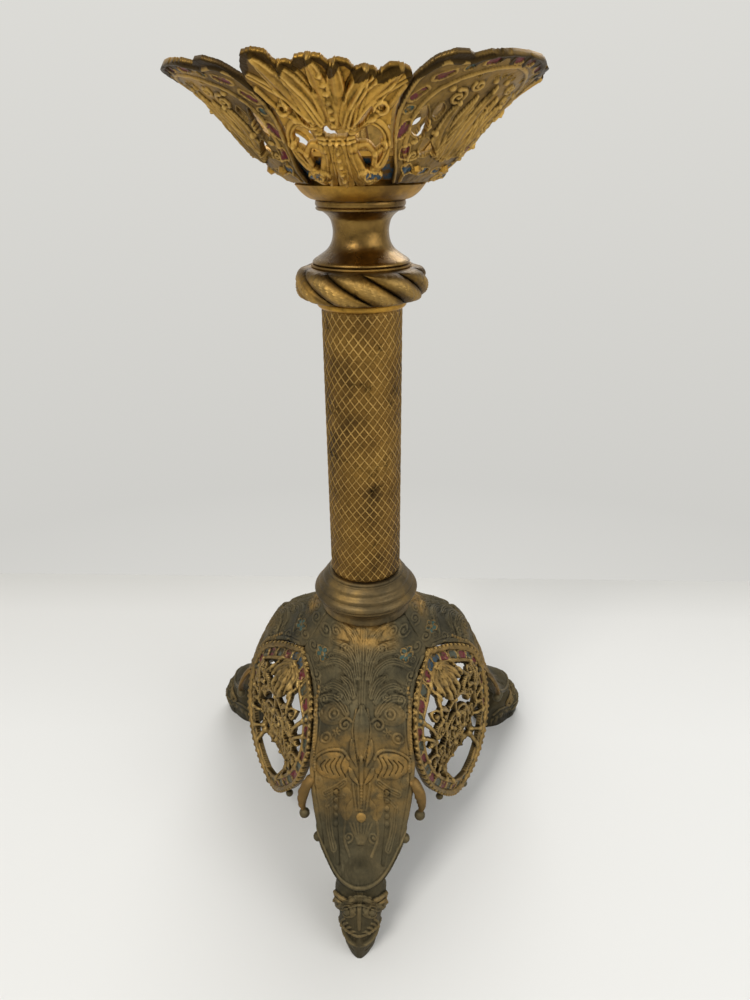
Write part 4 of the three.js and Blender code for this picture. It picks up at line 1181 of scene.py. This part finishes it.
castings("pan_lobe_casting", lobe_mesh(), pan_turns(PANELS), pan_gilt, "pan_lobe")
castings("pan_palmette_casting", palmette_mesh(), pan_turns(LEGS), gilt, "pan_palmette")

turned("pan_cup_turned", [
    (BORE, 344.8), (19.9, 344.8), [(22.6, 345.6), (25.8, 347.9), (28.4, 351)], (27, 353.1),
    [(32.4, 356.9), (38.7, 361.8)], (37.2, 363.4), [(31.2, 358.8), (25.8, 354.9)], (20.5, 349.4), (18, 348),
    (BORE, 348)], gilt, ["pan_cup"], enamel=(353.4, 361.6, 27.6, NAVY))


# Camera, light and floor

eye = Vector((16.5, -330.2 + STEM_Y / MM, 362.4)) * MM
pitch, yaw, roll = (math.radians(a) for a in (26.52, 1.92, -0.41))
camera_data = bpy.data.cameras.new("camera")
camera_data.lens = 24.95
camera_data.sensor_width = 36
camera_data.sensor_fit = "AUTO"
camera_data.clip_start = 0.01
camera = placed("camera", camera_data)
facing = (Matrix.Rotation(yaw, 4, "Z") @ Matrix.Rotation(math.pi / 2 - pitch, 4, "X")
          @ Matrix.Rotation(roll, 4, "Z"))
camera.matrix_world = Matrix.Translation(eye) @ facing
bpy.context.scene.camera = camera


def area_light(name, place, target, size, power, colour=(1, 1, 1)):
    data = bpy.data.lights.new(name, "AREA")
    data.shape = "RECTANGLE"
    data.size, data.size_y = size
    data.energy = power
    data.color = colour
    light = placed(name, data)
    light.location = place
    light.rotation_euler = (Vector(target) - Vector(place)).to_track_quat("-Z", "Y").to_euler()


area_light("key", (-0.5, -0.7, 1.1), (0, 0, 0.2), (0.45, 0.45), 8, (1.0, 0.97, 0.92))
area_light("fill", (0.8, -0.5, 0.7), (0, 0, 0.2), (0.7, 0.7), 4)
area_light("back", (0.1, 0.9, 0.9), (0, 0, 0.25), (0.9, 0.5), 5)


def studio_world():
    """Even light from all round. The camera, and what shines, sees a paper wall with painted shade that makes
    it greyer low down.
    """
    world = bpy.data.worlds.new("studio")
    bpy.context.scene.world = world
    world.use_nodes = True
    s = Shading(world.node_tree, "Generated")
    level = s.between(s.node("SeparateXYZ", "Z", {"Vector": s.place}), -0.6, 0.2)
    # painted shade: the wall's tone dips low down, towards the floor
    tones = ((0, 0.7), (0.22, 0.625), (0.53, 0.66), (1, 0.72))
    wall = s.ramp(level, [(height, (tone, tone * 0.99, tone * 0.945)) for height, tone in tones])
    seen = s.math("MAXIMUM", s.node("LightPath", "Is Camera Ray"), s.node("LightPath", "Is Glossy Ray"))
    s.feed("Background", Color=s.mix(seen, (0.5, 0.5, 0.49), wall))


def paper_floor():
    """A pale paper under the candlestick, that ends a little way behind it, with painted shade that darkens
    it towards that edge.
    """
    half_wide, half_deep, far_edge = 3, 1.6, 0.23
    shape = bmesh.new()
    bmesh.ops.create_grid(shape, x_segments=1, y_segments=1, size=1)
    bmesh.ops.scale(shape, verts=shape.verts, vec=(half_wide, half_deep, 1))
    bmesh.ops.translate(shape, verts=shape.verts, vec=(0, far_edge - half_deep + STEM_Y, 0))
    mesh = bpy.data.meshes.new("paper_floor")
    shape.to_mesh(mesh)
    shape.free()
    piece = placed("paper_floor", mesh)
    paper, s = new_material("paper")
    away = s.between(s.node("SeparateXYZ", "Y", {"Vector": s.place}), 0.05, 0.25)
    # painted shade: the paper darkens towards its far edge
    tones = [(0, (0.755, 0.755, 0.74)), (0.7, (0.7, 0.695, 0.675)), (1, (0.605, 0.6, 0.575))]
    s.feed("Principled BSDF", Base_Color=s.ramp(away, tones))
    paper.node_tree.nodes["Principled BSDF"].inputs["Roughness"].default_value = 0.7
    mesh.materials.append(paper)


studio_world()
paper_floor()
bpy.context.scene.view_settings.view_transform = "Standard"
